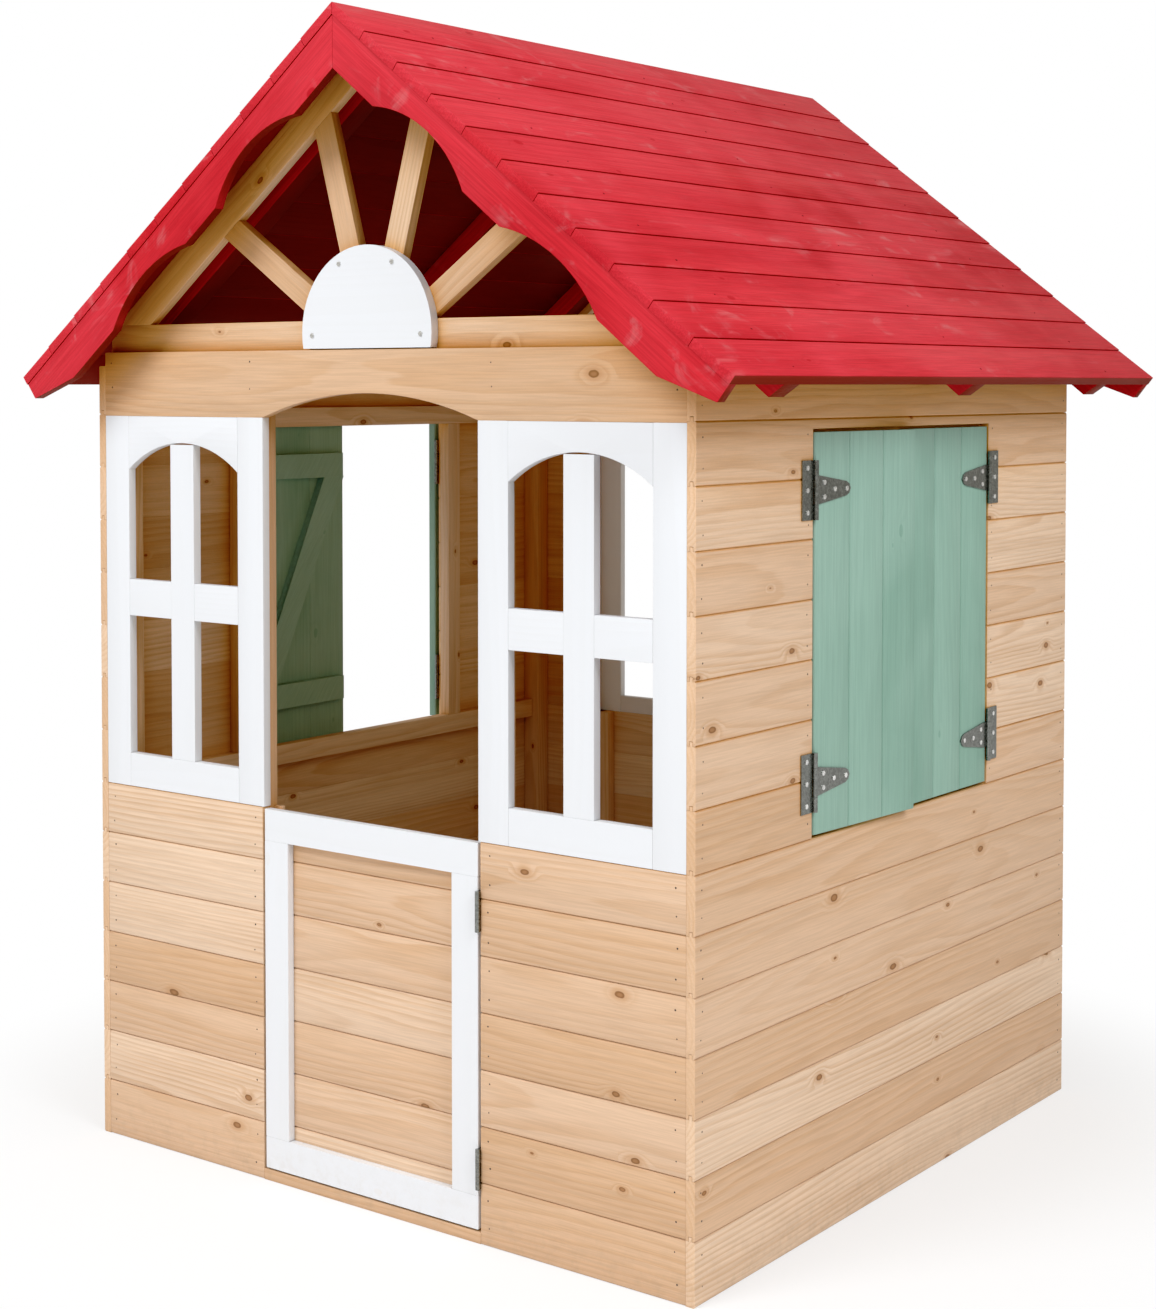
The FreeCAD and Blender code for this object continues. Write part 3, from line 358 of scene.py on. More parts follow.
HOLLOW_SHADE_AND_DIRT = hollow_shade_and_dirt_group()
print("joint group:", len(HOLLOW_SHADE_AND_DIRT.nodes), "nodes")

# %% [markdown]
# ## Dust from the ground
#
# Rain throws a little soil against the lowest boards and it dries there. The mask fades out within
# a hand's width of the ground and is speckled.

# %% The splash group
def splash_group():
    tree, start, end = open_tree("Ground Splash", "ShaderNodeTree", [("Height", "NodeSocketFloat", 0.10)],
                                 [("Splash", "NodeSocketFloat")])
    where = add(tree, "ShaderNodeTexCoord").outputs["Object"]
    height = add(tree, "ShaderNodeSeparateXYZ", Vector=where).outputs["Z"]
    fade = ramp_(tree, height, 0.0, start.outputs["Height"], 1.0, 0.0)
    specks = add(tree, "ShaderNodeTexNoise", Vector=where, Scale=55.0, Detail=5.0, Roughness=0.7)
    speckled = ramp_(tree, specks.outputs["Fac"], 0.42, 0.72)
    tree.links.new(math_(tree, "MULTIPLY", fade, speckled), end.inputs["Splash"])
    return tree


SPLASH = splash_group()
print("splash group:", len(SPLASH.nodes), "nodes")

# %% [markdown]
# ## Materials
#
# Four of the materials are the same timber under different coats. Bare boards show all of the
# grain. A stain is thin, so the grain reads through its colour, and it soaks in unevenly: darker
# where the brush overlapped and paler where the wood was hard. Paint hides colour but not relief,
# so the white frames keep only a faint bump along the grain.

# %% Start a material
def group_(tree, group, **inputs):
    made = tree.nodes.new("ShaderNodeGroup")
    made.node_tree = group
    for name, value in inputs.items():
        socket = made.inputs[name.replace("_", " ")]
        if isinstance(value, bpy.types.NodeSocket):
            tree.links.new(value, socket)
        else:
            socket.default_value = value
    return made.outputs


def new_material(name):
    made = bpy.data.materials.new(name)
    made.use_nodes = True
    return made, made.node_tree, made.node_tree.nodes["Principled BSDF"]


def weigh_(tree, first, first_share, second, second_share):
    """Two values added up, each with its own share."""
    return math_(tree, "MULTIPLY_ADD", first, first_share, math_(tree, "MULTIPLY", second, second_share))


def bump_(tree, shader, height, strength, distance):
    made = add(tree, "ShaderNodeBump", Height=height, Strength=strength, Distance=distance)
    tree.links.new(made.outputs[0], shader.inputs["Normal"])


# %% Bare timber
def bare_timber():
    made, tree, shader = new_material("Bare softwood")
    wood = group_(tree, SOFTWOOD, Ring_Width=0.0058, Knots=0.42, Waviness=0.016)
    pale = mix_(tree, ramp_(tree, wood["Luck"], 0.05, 0.60), (0.800, 0.620, 0.465), (0.700, 0.490, 0.335))
    pale = mix_(tree, ramp_(tree, wood["Luck"], 0.60, 1.00), pale, (0.630, 0.410, 0.250))
    pale = mix_(tree, math_(tree, "MULTIPLY", wood["Patch"], 0.50), pale, (0.680, 0.450, 0.285))
    pale = mix_(tree, ramp_(tree, wood["Band"], 0.50, 0.74, 0.0, 0.45), pale, (0.56, 0.365, 0.220))
    lines = math_(tree, "MULTIPLY", wood["Ring"], ramp_(tree, wood["Patch"], 0.3, 0.7, 0.14, 0.42))
    colour = mix_(tree, lines, pale, (0.52, 0.285, 0.125))
    streak = ramp_(tree, wood["Fibre"], 0.32, 0.68, 0.92, 1.04)
    grey = add(tree, "ShaderNodeCombineColor", Red=streak, Green=streak, Blue=streak).outputs[0]
    colour = mix_(tree, 1.0, colour, grey, "MULTIPLY")
    colour = mix_(tree, math_(tree, "MULTIPLY", wood["Halo"], 0.45), colour, (0.50, 0.26, 0.110))
    colour = mix_(tree, math_(tree, "MULTIPLY", wood["Knot"], 0.90), colour, (0.22, 0.095, 0.035))
    colour = mix_(tree, math_(tree, "MULTIPLY", wood["Heart"], 0.75), colour, (0.40, 0.20, 0.090))
    colour = mix_(tree, math_(tree, "MULTIPLY", wood["End"], 0.30), colour, (0.76, 0.50, 0.30))
    edge = group_(tree, RUBBED, Width=0.0015, Amount=0.35)["Edge"]
    colour = mix_(tree, edge, colour, (0.83, 0.61, 0.40))
    # Painted shade with some dirt: where a few millimetres of sky are hidden, in the grooves between boards, the
    # colour is darkened.
    joint = group_(tree, HOLLOW_SHADE_AND_DIRT, Reach=0.004)["Joint"]
    colour = mix_(tree, math_(tree, "MULTIPLY", joint, 0.40), colour, (0.34, 0.170, 0.070))
    # Painted warm shade: above the sills, where much of the sky within a quarter metre is hidden, under the eaves
    # and inside the house, the colour is made darker and more orange.
    where = add(tree, "ShaderNodeTexCoord").outputs["Object"]
    height = add(tree, "ShaderNodeSeparateXYZ", Vector=where).outputs["Z"]
    above_sill = ramp_(tree, height, 0.30, 0.60)
    warm_shade = math_(tree, "MULTIPLY", group_(tree, HOLLOW_SHADE_AND_DIRT, Reach=0.25)["Warm Shade"], above_sill)
    colour = mix_(tree, warm_shade, colour, (0.94, 0.68, 0.30), "MULTIPLY")
    splash = group_(tree, SPLASH, Height=0.09)["Splash"]
    colour = mix_(tree, math_(tree, "MULTIPLY", splash, 0.25), colour, (0.40, 0.29, 0.19))
    tree.links.new(colour, shader.inputs["Base Color"])
    tree.links.new(ramp_(tree, wood["Fibre"], 0.2, 0.8, 0.50, 0.68), shader.inputs["Roughness"])
    shader.inputs["Specular IOR Level"].default_value = 0.2
    relief = weigh_(tree, wood["Fibre"], 0.6, wood["Knot"], -0.5)
    bump_(tree, shader, weigh_(tree, relief, 1.0, wood["Ring"], 0.5), 0.35, 0.0006)
    return made


# %% Stained timber
def stained_timber(name, body, deep, bright, grain, patchy, rough, fibre, scuffs, joint_shade_and_dirt, under):
    made, tree, shader = new_material(name)
    wood = group_(tree, SOFTWOOD, Ring_Width=0.0075, Knots=0.22, Waviness=0.014)
    where = add(tree, "ShaderNodeTexCoord").outputs["Object"]
    brush = add(tree, "ShaderNodeTexNoise", Vector=where, Scale=5.5, Detail=3.0, Roughness=0.55,
                Distortion=0.6).outputs["Fac"]
    soak = weigh_(tree, wood["Patch"], 0.6, brush, 0.4)
    colour = mix_(tree, ramp_(tree, soak, 0.36, 0.66, 0.0, patchy), body, deep)
    colour = mix_(tree, ramp_(tree, wood["Luck"], 0.1, 0.9, 0.0, 0.55), colour, bright)
    washed = add(tree, "ShaderNodeTexNoise", Vector=where, Scale=2.6, Detail=2.0, Distortion=0.8)
    colour = mix_(tree, ramp_(tree, washed.outputs["Fac"], 0.44, 0.62, 0.0, 0.75), colour, bright)
    rubbed = add(tree, "ShaderNodeTexNoise", Vector=vec_(tree, "MULTIPLY", where, (9.0, 5.0, 9.0)), Scale=1.6,
                 Detail=4.0, Roughness=0.6, Distortion=1.5).outputs["Fac"]
    along = ramp_(tree, wood["Band"], 0.40, 0.66, 0.0, scuffs)
    scuff = math_(tree, "MULTIPLY", ramp_(tree, rubbed, 0.54, 0.72), along)
    colour = mix_(tree, scuff, colour, tuple(0.75 * value + 0.16 for value in bright))
    colour = mix_(tree, math_(tree, "MULTIPLY", wood["Ring"], grain), colour, deep)
    streak = ramp_(tree, wood["Fibre"], 0.30, 0.70, 1.0 - fibre, 1.0 + fibre / 2)
    grey = add(tree, "ShaderNodeCombineColor", Red=streak, Green=streak, Blue=streak).outputs[0]
    colour = mix_(tree, 1.0, colour, grey, "MULTIPLY")
    colour = mix_(tree, math_(tree, "MULTIPLY", wood["Knot"], 0.6), colour, deep)
    # Painted shade: faces that turn downwards, such as the undersides of the roof boards, are darkened towards a
    # deep red-brown.
    facing = add(tree, "ShaderNodeSeparateXYZ", Vector=add(tree, "ShaderNodeNewGeometry").outputs["Normal"])
    below = ramp_(tree, facing.outputs["Z"], -0.25, -0.65, 0.0, under)
    colour = mix_(tree, below, colour, (0.150, 0.018, 0.005))
    edge = group_(tree, RUBBED, Width=0.0015, Amount=0.45)["Edge"]
    colour = mix_(tree, edge, colour, bright)
    # Painted shade with some dirt: the grooves between boards are darkened.
    joint = group_(tree, HOLLOW_SHADE_AND_DIRT, Reach=0.005)["Joint"]
    colour = mix_(tree, math_(tree, "MULTIPLY", joint, joint_shade_and_dirt), colour, tuple(0.30 * value for value in deep))
    tree.links.new(colour, shader.inputs["Base Color"])
    tree.links.new(ramp_(tree, soak, 0.3, 0.7, rough - 0.07, rough + 0.08), shader.inputs["Roughness"])
    shader.inputs["Specular IOR Level"].default_value = 0.12
    relief = weigh_(tree, wood["Fibre"], 0.6, wood["Ring"], 0.5)
    bump_(tree, shader, relief, 0.35, 0.0006)
    return made


# %% Painted timber
def painted_timber():
    made, tree, shader = new_material("White paint")
    wood = group_(tree, SOFTWOOD, Ring_Width=0.007, Knots=0.12, Waviness=0.012)
    faint = math_(tree, "MULTIPLY", wood["Ring"], 0.05)
    colour = mix_(tree, faint, (0.770, 0.795, 0.830), (0.66, 0.65, 0.62))
    colour = mix_(tree, math_(tree, "MULTIPLY", wood["Knot"], 0.16), colour, (0.70, 0.62, 0.50))
    colour = mix_(tree, math_(tree, "MULTIPLY", wood["Luck"], 0.35), colour, (0.740, 0.765, 0.800))
    edge = group_(tree, RUBBED, Width=0.0012, Amount=0.22)["Edge"]
    colour = mix_(tree, edge, colour, (0.72, 0.66, 0.56))
    # Painted shade with some dirt: the grooves and inner corners are darkened.
    joint = group_(tree, HOLLOW_SHADE_AND_DIRT, Reach=0.003)["Joint"]
    colour = mix_(tree, math_(tree, "MULTIPLY", joint, 0.45), colour, (0.35, 0.34, 0.33))
    splash = group_(tree, SPLASH, Height=0.08)["Splash"]
    colour = mix_(tree, math_(tree, "MULTIPLY", splash, 0.20), colour, (0.52, 0.45, 0.36))
    tree.links.new(colour, shader.inputs["Base Color"])
    tree.links.new(ramp_(tree, wood["Fibre"], 0.2, 0.8, 0.34, 0.48), shader.inputs["Roughness"])
    relief = weigh_(tree, wood["Fibre"], 0.5, wood["Ring"], 0.5)
    bump_(tree, shader, relief, 0.22, 0.0005)
    return made


# %% [markdown]
# Zinc on pressed steel is dull and slightly cloudy: the plating grows in small flat crystals, each
# catching the light a little differently. A cell pattern and a finer noise vary the tone, and the finer
# noise also adds the handling marks to the roughness and the relief. The screws are the same plating, newer and
# brighter.

# %% Plated steel
def plated_steel(name, tone, rough):
    made, tree, shader = new_material(name)
    where = add(tree, "ShaderNodeTexCoord").outputs["Object"]
    crystal = add(tree, "ShaderNodeTexVoronoi", {"feature": "F1"}, Vector=where, Scale=420.0).outputs["Color"]
    grey = add(tree, "ShaderNodeSeparateColor", Color=crystal).outputs[0]
    handled = add(tree, "ShaderNodeTexNoise", Vector=where, Scale=160.0, Detail=4.0, Roughness=0.65)
    marks = handled.outputs["Fac"]
    shade = ramp_(tree, weigh_(tree, grey, 0.5, marks, 0.5), 0.2, 0.8, 0.75, 1.12)
    tint = add(tree, "ShaderNodeCombineColor", Red=shade, Green=shade, Blue=shade).outputs[0]
    colour = mix_(tree, 1.0, tone, tint, "MULTIPLY")
    edge = group_(tree, RUBBED, Width=0.0006, Amount=0.6)["Edge"]
    colour = mix_(tree, edge, colour, tuple(min(1.0, value * 1.6) for value in tone))
    tree.links.new(colour, shader.inputs["Base Color"])
    shader.inputs["Metallic"].default_value = 0.9
    tree.links.new(ramp_(tree, marks, 0.3, 0.7, rough - 0.06, rough + 0.12), shader.inputs["Roughness"])
    bump_(tree, shader, marks, 0.15, 0.0002)
    return made


# %% Make the materials
COATS = {
    "natural_wood": bare_timber(),
    "white_paint": painted_timber(),
    "red_stain": stained_timber("Red stain", (0.56, 0.027, 0.035), (0.38, 0.009, 0.016), (0.62, 0.044, 0.058),
                                0.12, 0.95, 0.52, 0.14, 0.55, 0.22, 0.92),
    "green_stain": stained_timber("Green stain", (0.270, 0.445, 0.365), (0.185, 0.335, 0.265),
                                  (0.315, 0.490, 0.410), 0.10, 0.6, 0.55, 0.07, 0.10, 0.12, 0.0),
    "zinc": plated_steel("Zinc plate", (0.225, 0.235, 0.220), 0.20),
    "screws": plated_steel("Screw plate", (0.88, 0.89, 0.88), 0.24),
}
print("materials:", sorted(COATS))

# %% [markdown]
# ## Coat the pieces
#
# Now each solid gets its coat. For the boards we name the direction they face and the directions
# their grain may run. Then a narrow bevel takes the sharpness off every edge, as a sander does:
# without it a board catches no light along its edge and looks cut from card.

# %% Directions of the roof, the spokes and the braces
X, Y, Z = Vector((1, 0, 0)), Vector((0, 1, 0)), Vector((0, 0, 1))
PITCH = 38.03  # slope of the roof in degrees
FLAT_SPOKE, STEEP_SPOKE = 34.5, 74.5  # degrees from level
BRACE = 52.0  # slope of the shutters' braces in degrees


def leaning(degrees, level=X):
    """A direction so many degrees above a level one."""
    return level * math.cos(math.radians(degrees)) + Z * math.sin(math.radians(degrees))


SLOPE_RIGHT, SLOPE_LEFT = leaning(-PITCH), leaning(PITCH)
UP_RIGHT, UP_LEFT = leaning(90 - PITCH), leaning(90 + PITCH)
SPOKES = [leaning(FLAT_SPOKE), leaning(180 - FLAT_SPOKE), leaning(STEEP_SPOKE), leaning(180 - STEEP_SPOKE)]
print("directions of the", len(SPOKES), "spokes and both slopes are ready")

# %% Which way each piece faces and its grain runs
GRAIN = {
    "front_right_boards": (Y, [X]), "front_left_boards": (Y, [X]), "rear_wall_boards": (Y, [X]),
    "right_wall_boards": (X, [Y]), "left_wall_boards": (X, [Y]), "door_boards": (Y, [X]),
    "corner_posts": (Y, [Z]), "door_posts": (Y, [Z]), "rear_window_posts": (Y, [Z]),
    "shutter_posts": (X, [Z]), "side_wall_rails": (X, [Y]), "threshold": (Y, [X]),
    "door_stop": (Y, [Z]), "arched_header": (Y, [X]),
    "gable_tie_beams": (Y, [X]), "front_gable_rafters": (Y, [SLOPE_RIGHT, SLOPE_LEFT]),
    "rear_gable_rafters": (Y, [SLOPE_RIGHT, SLOPE_LEFT]),
    "front_gable_spokes": (Y, SPOKES), "rear_gable_spokes": (Y, SPOKES),
    "gable_plaques": (Y, [X]), "door_rails": (Y, [X]), "door_stiles": (Y, [Z]),
    "right_window_stiles": (Y, [Z]), "left_window_stiles": (Y, [Z]), "right_window_arch": (Y, [X]),
    "left_window_arch": (Y, [X]), "right_window_bars": (Y, [Z, X]), "left_window_bars": (Y, [Z, X]),
    "rear_window_stiles": (Y, [Z]), "rear_window_bars": (Y, [Z, X]),
    "roof_boards_right": (UP_RIGHT, [Y]), "roof_boards_left": (UP_LEFT, [Y]),
    "roof_battens_right": (UP_RIGHT, [SLOPE_RIGHT]), "roof_battens_left": (UP_LEFT, [SLOPE_LEFT]),
    "front_barge_right": (Y, [SLOPE_RIGHT]), "front_barge_left": (Y, [SLOPE_LEFT]),
    "rear_barge_right": (Y, [SLOPE_RIGHT]), "rear_barge_left": (Y, [SLOPE_LEFT]),
}
for joint in frame["joints"]:
    if "shutter" not in joint["name"]:
        continue
    body = joint["child"]
    low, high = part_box(body + "_boards")
    hinge = Vector(joint["pos_m"])
    free = Vector(((low.x + high.x) / 2 - hinge.x, (low.y + high.y) / 2 - hinge.y, 0.0)).normalized()
    out = free.cross(Z)
    GRAIN[body + "_boards"] = (out, [Z])
    GRAIN[body + "_ledges"] = (out, [free, leaning(BRACE, free)])
print("pieces with grain:", len(GRAIN))


# %% Shade curves round and corners crisp
def round_rule():
    takes = [("Geometry", "NodeSocketGeometry", None), ("Corner", "NodeSocketFloat", math.radians(25))]
    tree, start, end = open_tree("Round Curves", "GeometryNodeTree", takes, GIVES_SHAPE)
    angle = add(tree, "GeometryNodeInputMeshEdgeAngle").outputs["Unsigned Angle"]
    corner = add(tree, "FunctionNodeCompare", {"data_type": "FLOAT", "operation": "GREATER_THAN"})
    tree.links.new(angle, corner.inputs[0])
    tree.links.new(start.outputs["Corner"], corner.inputs[1])
    smooth = add(tree, "GeometryNodeSetShadeSmooth", {"domain": "FACE"}, Geometry=start.outputs["Geometry"])
    sharp = add(tree, "GeometryNodeSetShadeSmooth", {"domain": "EDGE"}, Geometry=smooth.outputs[0],
                Selection=corner.outputs[0])
    sharp.inputs["Shade Smooth"].default_value = False
    tree.links.new(sharp.outputs[0], end.inputs[0])
    return tree


ROUND_RULE = round_rule()


# %% Coat every solid and bevel the boards
def set_input(modifier, name, value):
    for item in modifier.node_group.interface.items_tree:
        if item.item_type == "SOCKET" and item.in_out == "INPUT" and item.name == name:
            modifier[item.identifier] = value
            return
    raise KeyError(name)


EASED = 0.0008  # metres taken off an edge
SHARP = math.radians(35)  # edges that turn less than this stay as they are
SLOT_OF = {row["node"]: row["material_slot"] for row in frame["record"]["subparts"]}
for number, (name, solid) in enumerate(sorted(frame["nodes"].items())):
    coat = COATS[SLOT_OF[name]]
    solid.data.materials.clear()
    solid.data.materials.append(coat)
    if name in GRAIN:
        face, ways = GRAIN[name]
        rule = solid.modifiers.new("Board frames", "NODES")
        rule.node_group = BOARD_RULE
        set_input(rule, "Material", coat)
        set_input(rule, "Face Normal", tuple(face))
        set_input(rule, "Seed", number)
        for i in range(4):
            set_input(rule, "Grain %d" % i, tuple(ways[min(i, len(ways) - 1)]))
    if name in GRAIN and "plaque" not in name:
        bevel = solid.modifiers.new("Eased edges", "BEVEL")
        bevel.width = EASED
        bevel.segments = 2
        bevel.limit_method = "ANGLE"
        bevel.angle_limit = SHARP
    curves = solid.modifiers.new("Round curves", "NODES")
    curves.node_group = ROUND_RULE
print("coated", len(frame["nodes"]), "pieces")

# %% [markdown]
# ## Nails
#
# The boards are nailed at both ends, two nails to a board, a quarter of its height from either
# edge. A carpenter doesn't measure this, so the nails wander by a millimetre or two. The next cells
# list where nails are meant to go; a geometry rule moves each one a little and puts a small punched
# head there, some a little larger than others. The rule's random numbers have a fixed seed, so the
# nails stay where they are each time the notebook runs.

# %% Where the nails go
BOTTOM = 0.073  # top of the lowest board
LOW_TOP, LOW_ROWS = 0.476, 6  # top of the boards below the sills, and how many rows there are
ROW_HIGH, HIGH_ROWS = 0.0705, 7  # height of a row beside the openings, and how many there are
WALL_TOP = 1.0338
rows = [(0.0, BOTTOM)]
step = (LOW_TOP - BOTTOM) / LOW_ROWS
rows += [(BOTTOM + i * step, BOTTOM + (i + 1) * step) for i in range(LOW_ROWS)]
rows += [(LOW_TOP + i * ROW_HIGH, LOW_TOP + (i + 1) * ROW_HIGH) for i in range(HIGH_ROWS)]
rows.append((rows[-1][1], WALL_TOP))
side_low, side_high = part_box("right_wall_boards")
post_low, post_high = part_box("shutter_posts")
_, rear_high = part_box("rear_wall_boards")
panel_low, panel_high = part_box("front_right_boards")
header_low, header_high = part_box("arched_header")
NAIL_EDGE = 0.013  # from the end of a board to its nails
POST_NAIL = 0.007  # from the outer side of an opening's post to its nails
HEADER_EDGE = 0.02  # the header's nails keep this much more from its lower edge
HEADER_INNER = 0.42  # the inner nails, as a share of the header's half length
ABOVE_POSTS = 0.03  # boards that reach no higher than this above the posts are nailed to them
SUNK = 0.0001  # how far a head stands out of the wood
nails = []  # (place, outward direction, which coat: 0 bare, 1 stained)


def two_nails(low, high, make):
    """Two nails in a board that reaches from one height to another."""
    for share in (0.27, 0.76):
        nails.append(make(low + (high - low) * share))


for side in (-1, 1):
    for low, high in rows:
        ends = [side_low.y + NAIL_EDGE, side_high.y - NAIL_EDGE]
        if low >= LOW_TOP - 0.001 and high < post_high.z + ABOVE_POSTS:
            ends += [post_low.y + POST_NAIL, post_high.y - POST_NAIL]
        for y in ends:
            two_nails(low, high, lambda z, y=y: (Vector((side * (side_high.x - SUNK), y, z)), X * side, 0))
    for low, high in rows[:LOW_ROWS + 1]:
        for x in (panel_low.x + NAIL_EDGE, panel_high.x - NAIL_EDGE):
            two_nails(low, high, lambda z, x=x: (Vector((side * x, panel_low.y + SUNK, z)), -Y, 0))
    for x in (header_high.x - NAIL_EDGE, header_high.x * HEADER_INNER):
        two_nails(header_low.z + HEADER_EDGE, header_high.z,
                  lambda z, x=x: (Vector((side * x, header_low.y + SUNK, z)), -Y, 0))
    for low, high in rows:
        x = side * (rear_high.x - NAIL_EDGE)
        two_nails(low, high, lambda z, x=x: (Vector((x, rear_high.y - SUNK, z)), Y, 0))
print("nails in the walls:", len(nails))

# %% Nails that hold the roof boards to the battens
ROOF_ROWS = 11
RIDGE_TOP, ROOF_HALF = 1.46101, 0.5665  # height of the ridge and half the width of the roof
SLOPE_LONG = ROOF_HALF / math.cos(math.radians(PITCH))
LAP = 0.001  # each board stands this much proud at its lower edge and as much low at its upper one
batten_low, batten_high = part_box("roof_battens_right")
BATTEN_MIDDLE = 0.034  # along the house
BATTEN_NAIL = 0.016  # from the outer side of the end battens to their nails
before = len(nails)
for side, down, out in ((1, SLOPE_RIGHT, UP_RIGHT), (-1, -SLOPE_LEFT, UP_LEFT)):
    for row in range(ROOF_ROWS):
        for share in (0.25, 0.75):
            along = down * (SLOPE_LONG * (row + share) / ROOF_ROWS) + out * (LAP * (2 * share - 1))
            for y in (batten_low.y + BATTEN_NAIL, BATTEN_MIDDLE, batten_high.y - BATTEN_NAIL):
                nails.append((Vector((0, y, RIDGE_TOP)) + along - out * SUNK, out, 1))
print("nails in the roof:", len(nails) - before)


# %% The rule that drives them
def nail_rule():
    takes = [("Geometry", "NodeSocketGeometry", None), ("Bare Head", "NodeSocketMaterial", None),
             ("Stained Head", "NodeSocketMaterial", None), ("Radius", "NodeSocketFloat", 0.0013),
             ("Wander", "NodeSocketFloat", 0.002), ("Seed", "NodeSocketInt", 7)]
    tree, start, end = open_tree("Nail Heads", "GeometryNodeTree", takes, GIVES_SHAPE)
    points = add(tree, "GeometryNodeMeshToPoints", Mesh=start.outputs["Geometry"])
    out = named_(tree, "out", "FLOAT_VECTOR")
    stray = add(tree, "FunctionNodeRandomValue", {"data_type": "FLOAT_VECTOR"})
    stray.inputs[0].default_value = (-1.0, -1.0, -1.0)
    tree.links.new(start.outputs["Seed"], stray.inputs["Seed"])
    scaled = add(tree, "ShaderNodeVectorMath", {"operation": "SCALE"}, i0=stray.outputs["Value"])
    tree.links.new(start.outputs["Wander"], scaled.inputs["Scale"])
    lift = add(tree, "ShaderNodeVectorMath", {"operation": "SCALE"}, i0=out)
    tree.links.new(vec_(tree, "DOT_PRODUCT", scaled.outputs[0], out), lift.inputs["Scale"])
    level = vec_(tree, "SUBTRACT", scaled.outputs[0], lift.outputs[0])
    moved = add(tree, "GeometryNodeSetPosition", Geometry=points.outputs[0], Offset=level)
    head = add(tree, "GeometryNodeMeshCone", Vertices=8, Depth=0.0002, Radius_Top=0.65, Radius_Bottom=1.0)
    tree.links.new(start.outputs["Radius"], head.inputs["Radius Bottom"])
    tree.links.new(math_(tree, "MULTIPLY", start.outputs["Radius"], 0.65), head.inputs["Radius Top"])
    turn = add(tree, "FunctionNodeAlignRotationToVector", {"axis": "Z"}, Vector=out)
    size = add(tree, "FunctionNodeRandomValue", {"data_type": "FLOAT"})
    size.inputs[2].default_value, size.inputs[3].default_value = 0.85, 1.15
    tree.links.new(start.outputs["Seed"], size.inputs["Seed"])
    placed = add(tree, "GeometryNodeInstanceOnPoints", Points=moved.outputs[0], Instance=head.outputs["Mesh"],
                 Rotation=turn.outputs[0], Scale=size.outputs[1])
    solid = add(tree, "GeometryNodeRealizeInstances", Geometry=placed.outputs[0])
    bare = add(tree, "GeometryNodeSetMaterial", Geometry=solid.outputs[0],
               Material=start.outputs["Bare Head"])
    stained = add(tree, "GeometryNodeSetMaterial", Geometry=bare.outputs[0],
                  Material=start.outputs["Stained Head"], Selection=named_(tree, "stained", "BOOLEAN"))
    tree.links.new(stained.outputs[0], end.inputs[0])
    return tree


def drive_nails(name, places, heads):
    """One plain mesh with a head at every place."""
    mesh = bpy.data.meshes.new(name + "_places")
    mesh.from_pydata([tuple(place) for place, out, stain in places], [], [])
    outward = mesh.attributes.new("out", "FLOAT_VECTOR", "POINT")
    coat = mesh.attributes.new("stained", "BOOLEAN", "POINT")
    for i, (place, out, stain) in enumerate(places):
        outward.data[i].vector = out
        coat.data[i].value = bool(stain)
    holder = bpy.data.objects.new(name + "_places", mesh)
    bpy.context.scene.collection.objects.link(holder)
    rule = holder.modifiers.new("Nail heads", "NODES")
    rule.node_group = NAIL_RULE
    for socket, value in heads.items():
        set_input(rule, socket, value)
    graph = bpy.context.evaluated_depsgraph_get()
    plain = bpy.data.meshes.new_from_object(holder.evaluated_get(graph), depsgraph=graph)
    bpy.data.objects.remove(holder)
    made = bpy.data.objects.new(name, plain)
    bpy.context.scene.collection.objects.link(made)
    return made


NAIL_RULE = nail_rule()
NAIL_COAT = plated_steel("Nail heads", (0.085, 0.070, 0.060), 0.5)
STAINED_NAIL = plated_steel("Stained nail heads", (0.110, 0.010, 0.014), 0.6)
house_nails = drive_nails("House_nails", nails, {"Bare Head": NAIL_COAT, "Stained Head": STAINED_NAIL,
                                                "Radius": 0.0013, "Wander": 0.002, "Seed": 7})
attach(house_nails, "house")
print("nail heads:", len(nails), "with", len(house_nails.data.polygons), "faces")
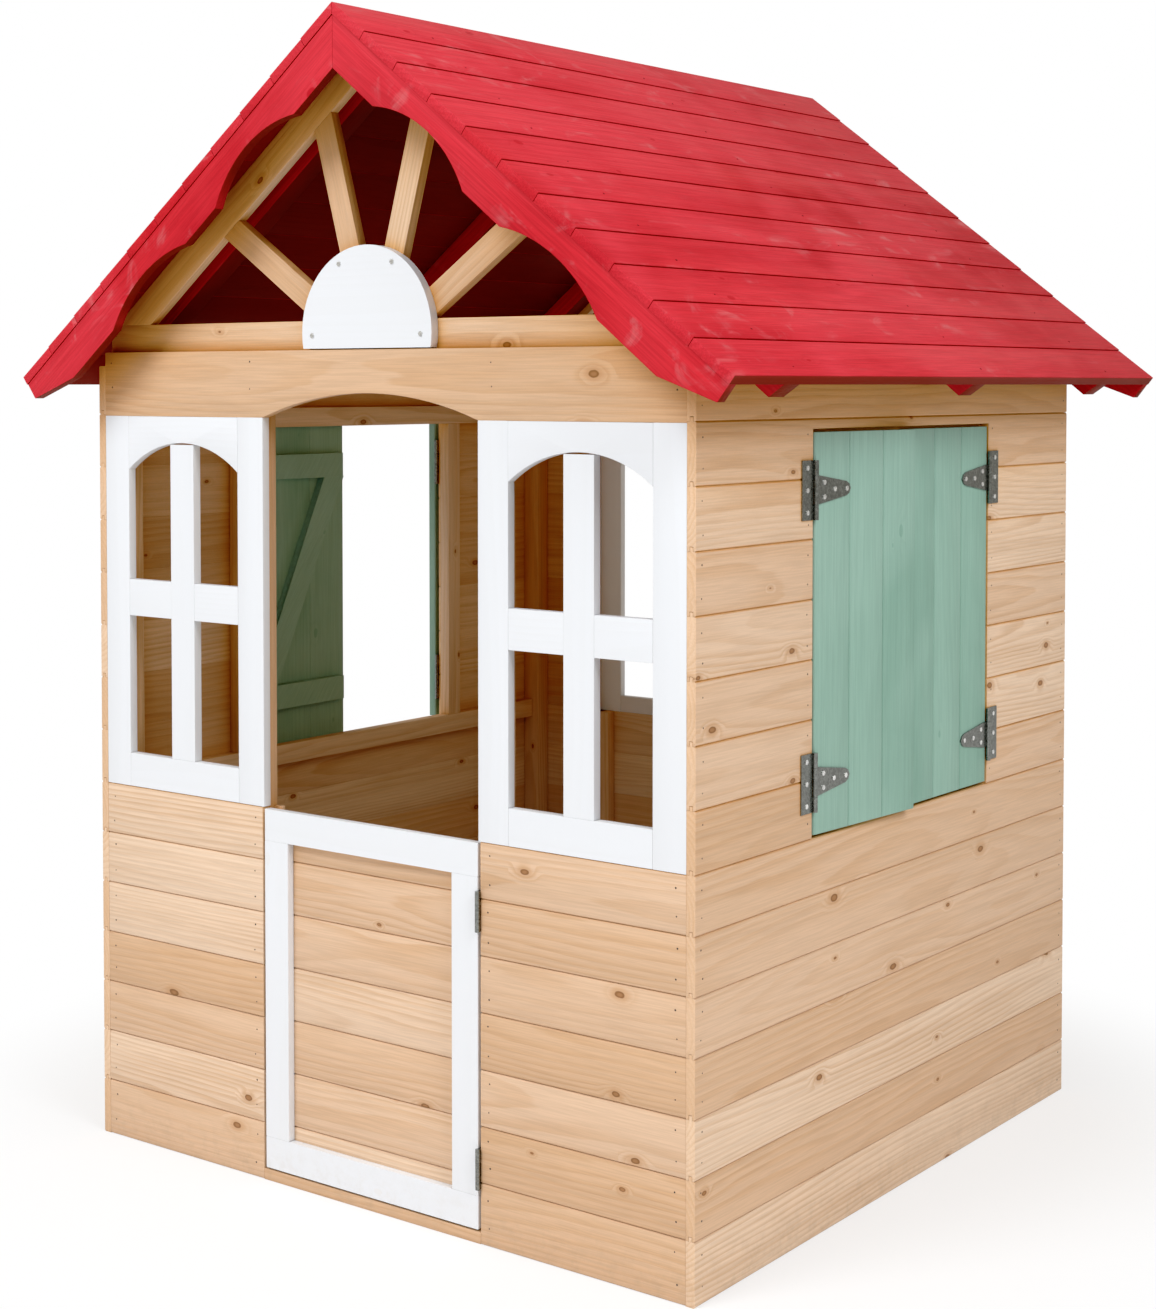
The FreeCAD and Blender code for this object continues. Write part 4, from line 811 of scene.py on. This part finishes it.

# %% [markdown]
# ## The studio
#
# A pale floor that runs up to a white surround, a broad soft light over the front left and a weaker
# one from the right. Broad lights give the soft shade under the eaves, which the bare wood's colour
# deepens with painted shade, and keep the white frames from burning out.

# %% Floor
bpy.ops.mesh.primitive_plane_add(size=60.0, location=(0.0, 0.0, 0.0))
floor = bpy.context.active_object
floor.name = "Studio_floor"
floor_coat, tree, shader = new_material("Studio floor")
shader.inputs["Base Color"].default_value = (0.86, 0.86, 0.87, 1.0)
shader.inputs["Roughness"].default_value = 0.9
place = add(tree, "ShaderNodeTexCoord").outputs["Object"]
away = add(tree, "ShaderNodeVectorMath", {"operation": "LENGTH"}, i0=place)
seen = add(tree, "ShaderNodeLightPath").outputs["Is Camera Ray"]
fade = math_(tree, "MULTIPLY", ramp_(tree, away.outputs["Value"], 0.62, 1.05, 0.62, 1.0), seen)
glow = add(tree, "ShaderNodeEmission")
blend = tree.nodes.new("ShaderNodeMixShader")
tree.links.new(fade, blend.inputs[0])
tree.links.new(shader.outputs[0], blend.inputs[1])
tree.links.new(glow.outputs[0], blend.inputs[2])
tree.links.new(blend.outputs[0], tree.nodes["Material Output"].inputs["Surface"])
floor.data.materials.append(floor_coat)


# %% Lights
def soft_light(name, place, aim, wide, power, tint=(1.0, 1.0, 1.0)):
    data = bpy.data.lights.new(name, "AREA")
    data.shape = "DISK"
    data.size = wide
    data.energy = power
    data.color = tint
    made = bpy.data.objects.new(name, data)
    bpy.context.scene.collection.objects.link(made)
    made.location = place
    made.rotation_euler = (Vector(aim) - Vector(place)).to_track_quat("-Z", "Y").to_euler()
    return made


soft_light("Key", (-1.2, -5.0, 5.6), (0.0, 0.0, 0.8), 3.2, 292.0, (0.975, 0.99, 1.02))
soft_light("Side", (5.2, -1.5, 5.2), (0.0, 0.0, 0.8), 3.2, 218.0, (0.965, 0.985, 1.03))
inside = soft_light("Warm bounce", (0.22, -0.05, 0.98), (-0.46, 0.12, 0.40), 0.5, 0.8, (1.0, 0.72, 0.38))
inside.visible_camera = False
world = bpy.data.worlds.new("Surround")
bpy.context.scene.world = world
world.use_nodes = True
air = world.node_tree
surround = air.nodes["Background"]
seen = add(air, "ShaderNodeLightPath").outputs["Is Camera Ray"]
WARM, WHITE = (1.0, 0.95, 0.86), (1.0, 1.0, 1.0)  # what lights the house, and what the camera sees
air.links.new(mix_(air, seen, WARM, WHITE), surround.inputs["Color"])
air.links.new(ramp_(air, seen, 0.0, 1.0, 0.50, 1.0), surround.inputs["Strength"])
view = bpy.context.scene.view_settings
view.view_transform = "Standard"
view.use_curve_mapping = True
toe = view.curve_mapping.curves[3]
for x, y in ((0.020, 0.005), (0.045, 0.028), (0.10, 0.095), (0.30, 0.30)):
    toe.points.new(x, y)
view.curve_mapping.update()
view.look = "None"
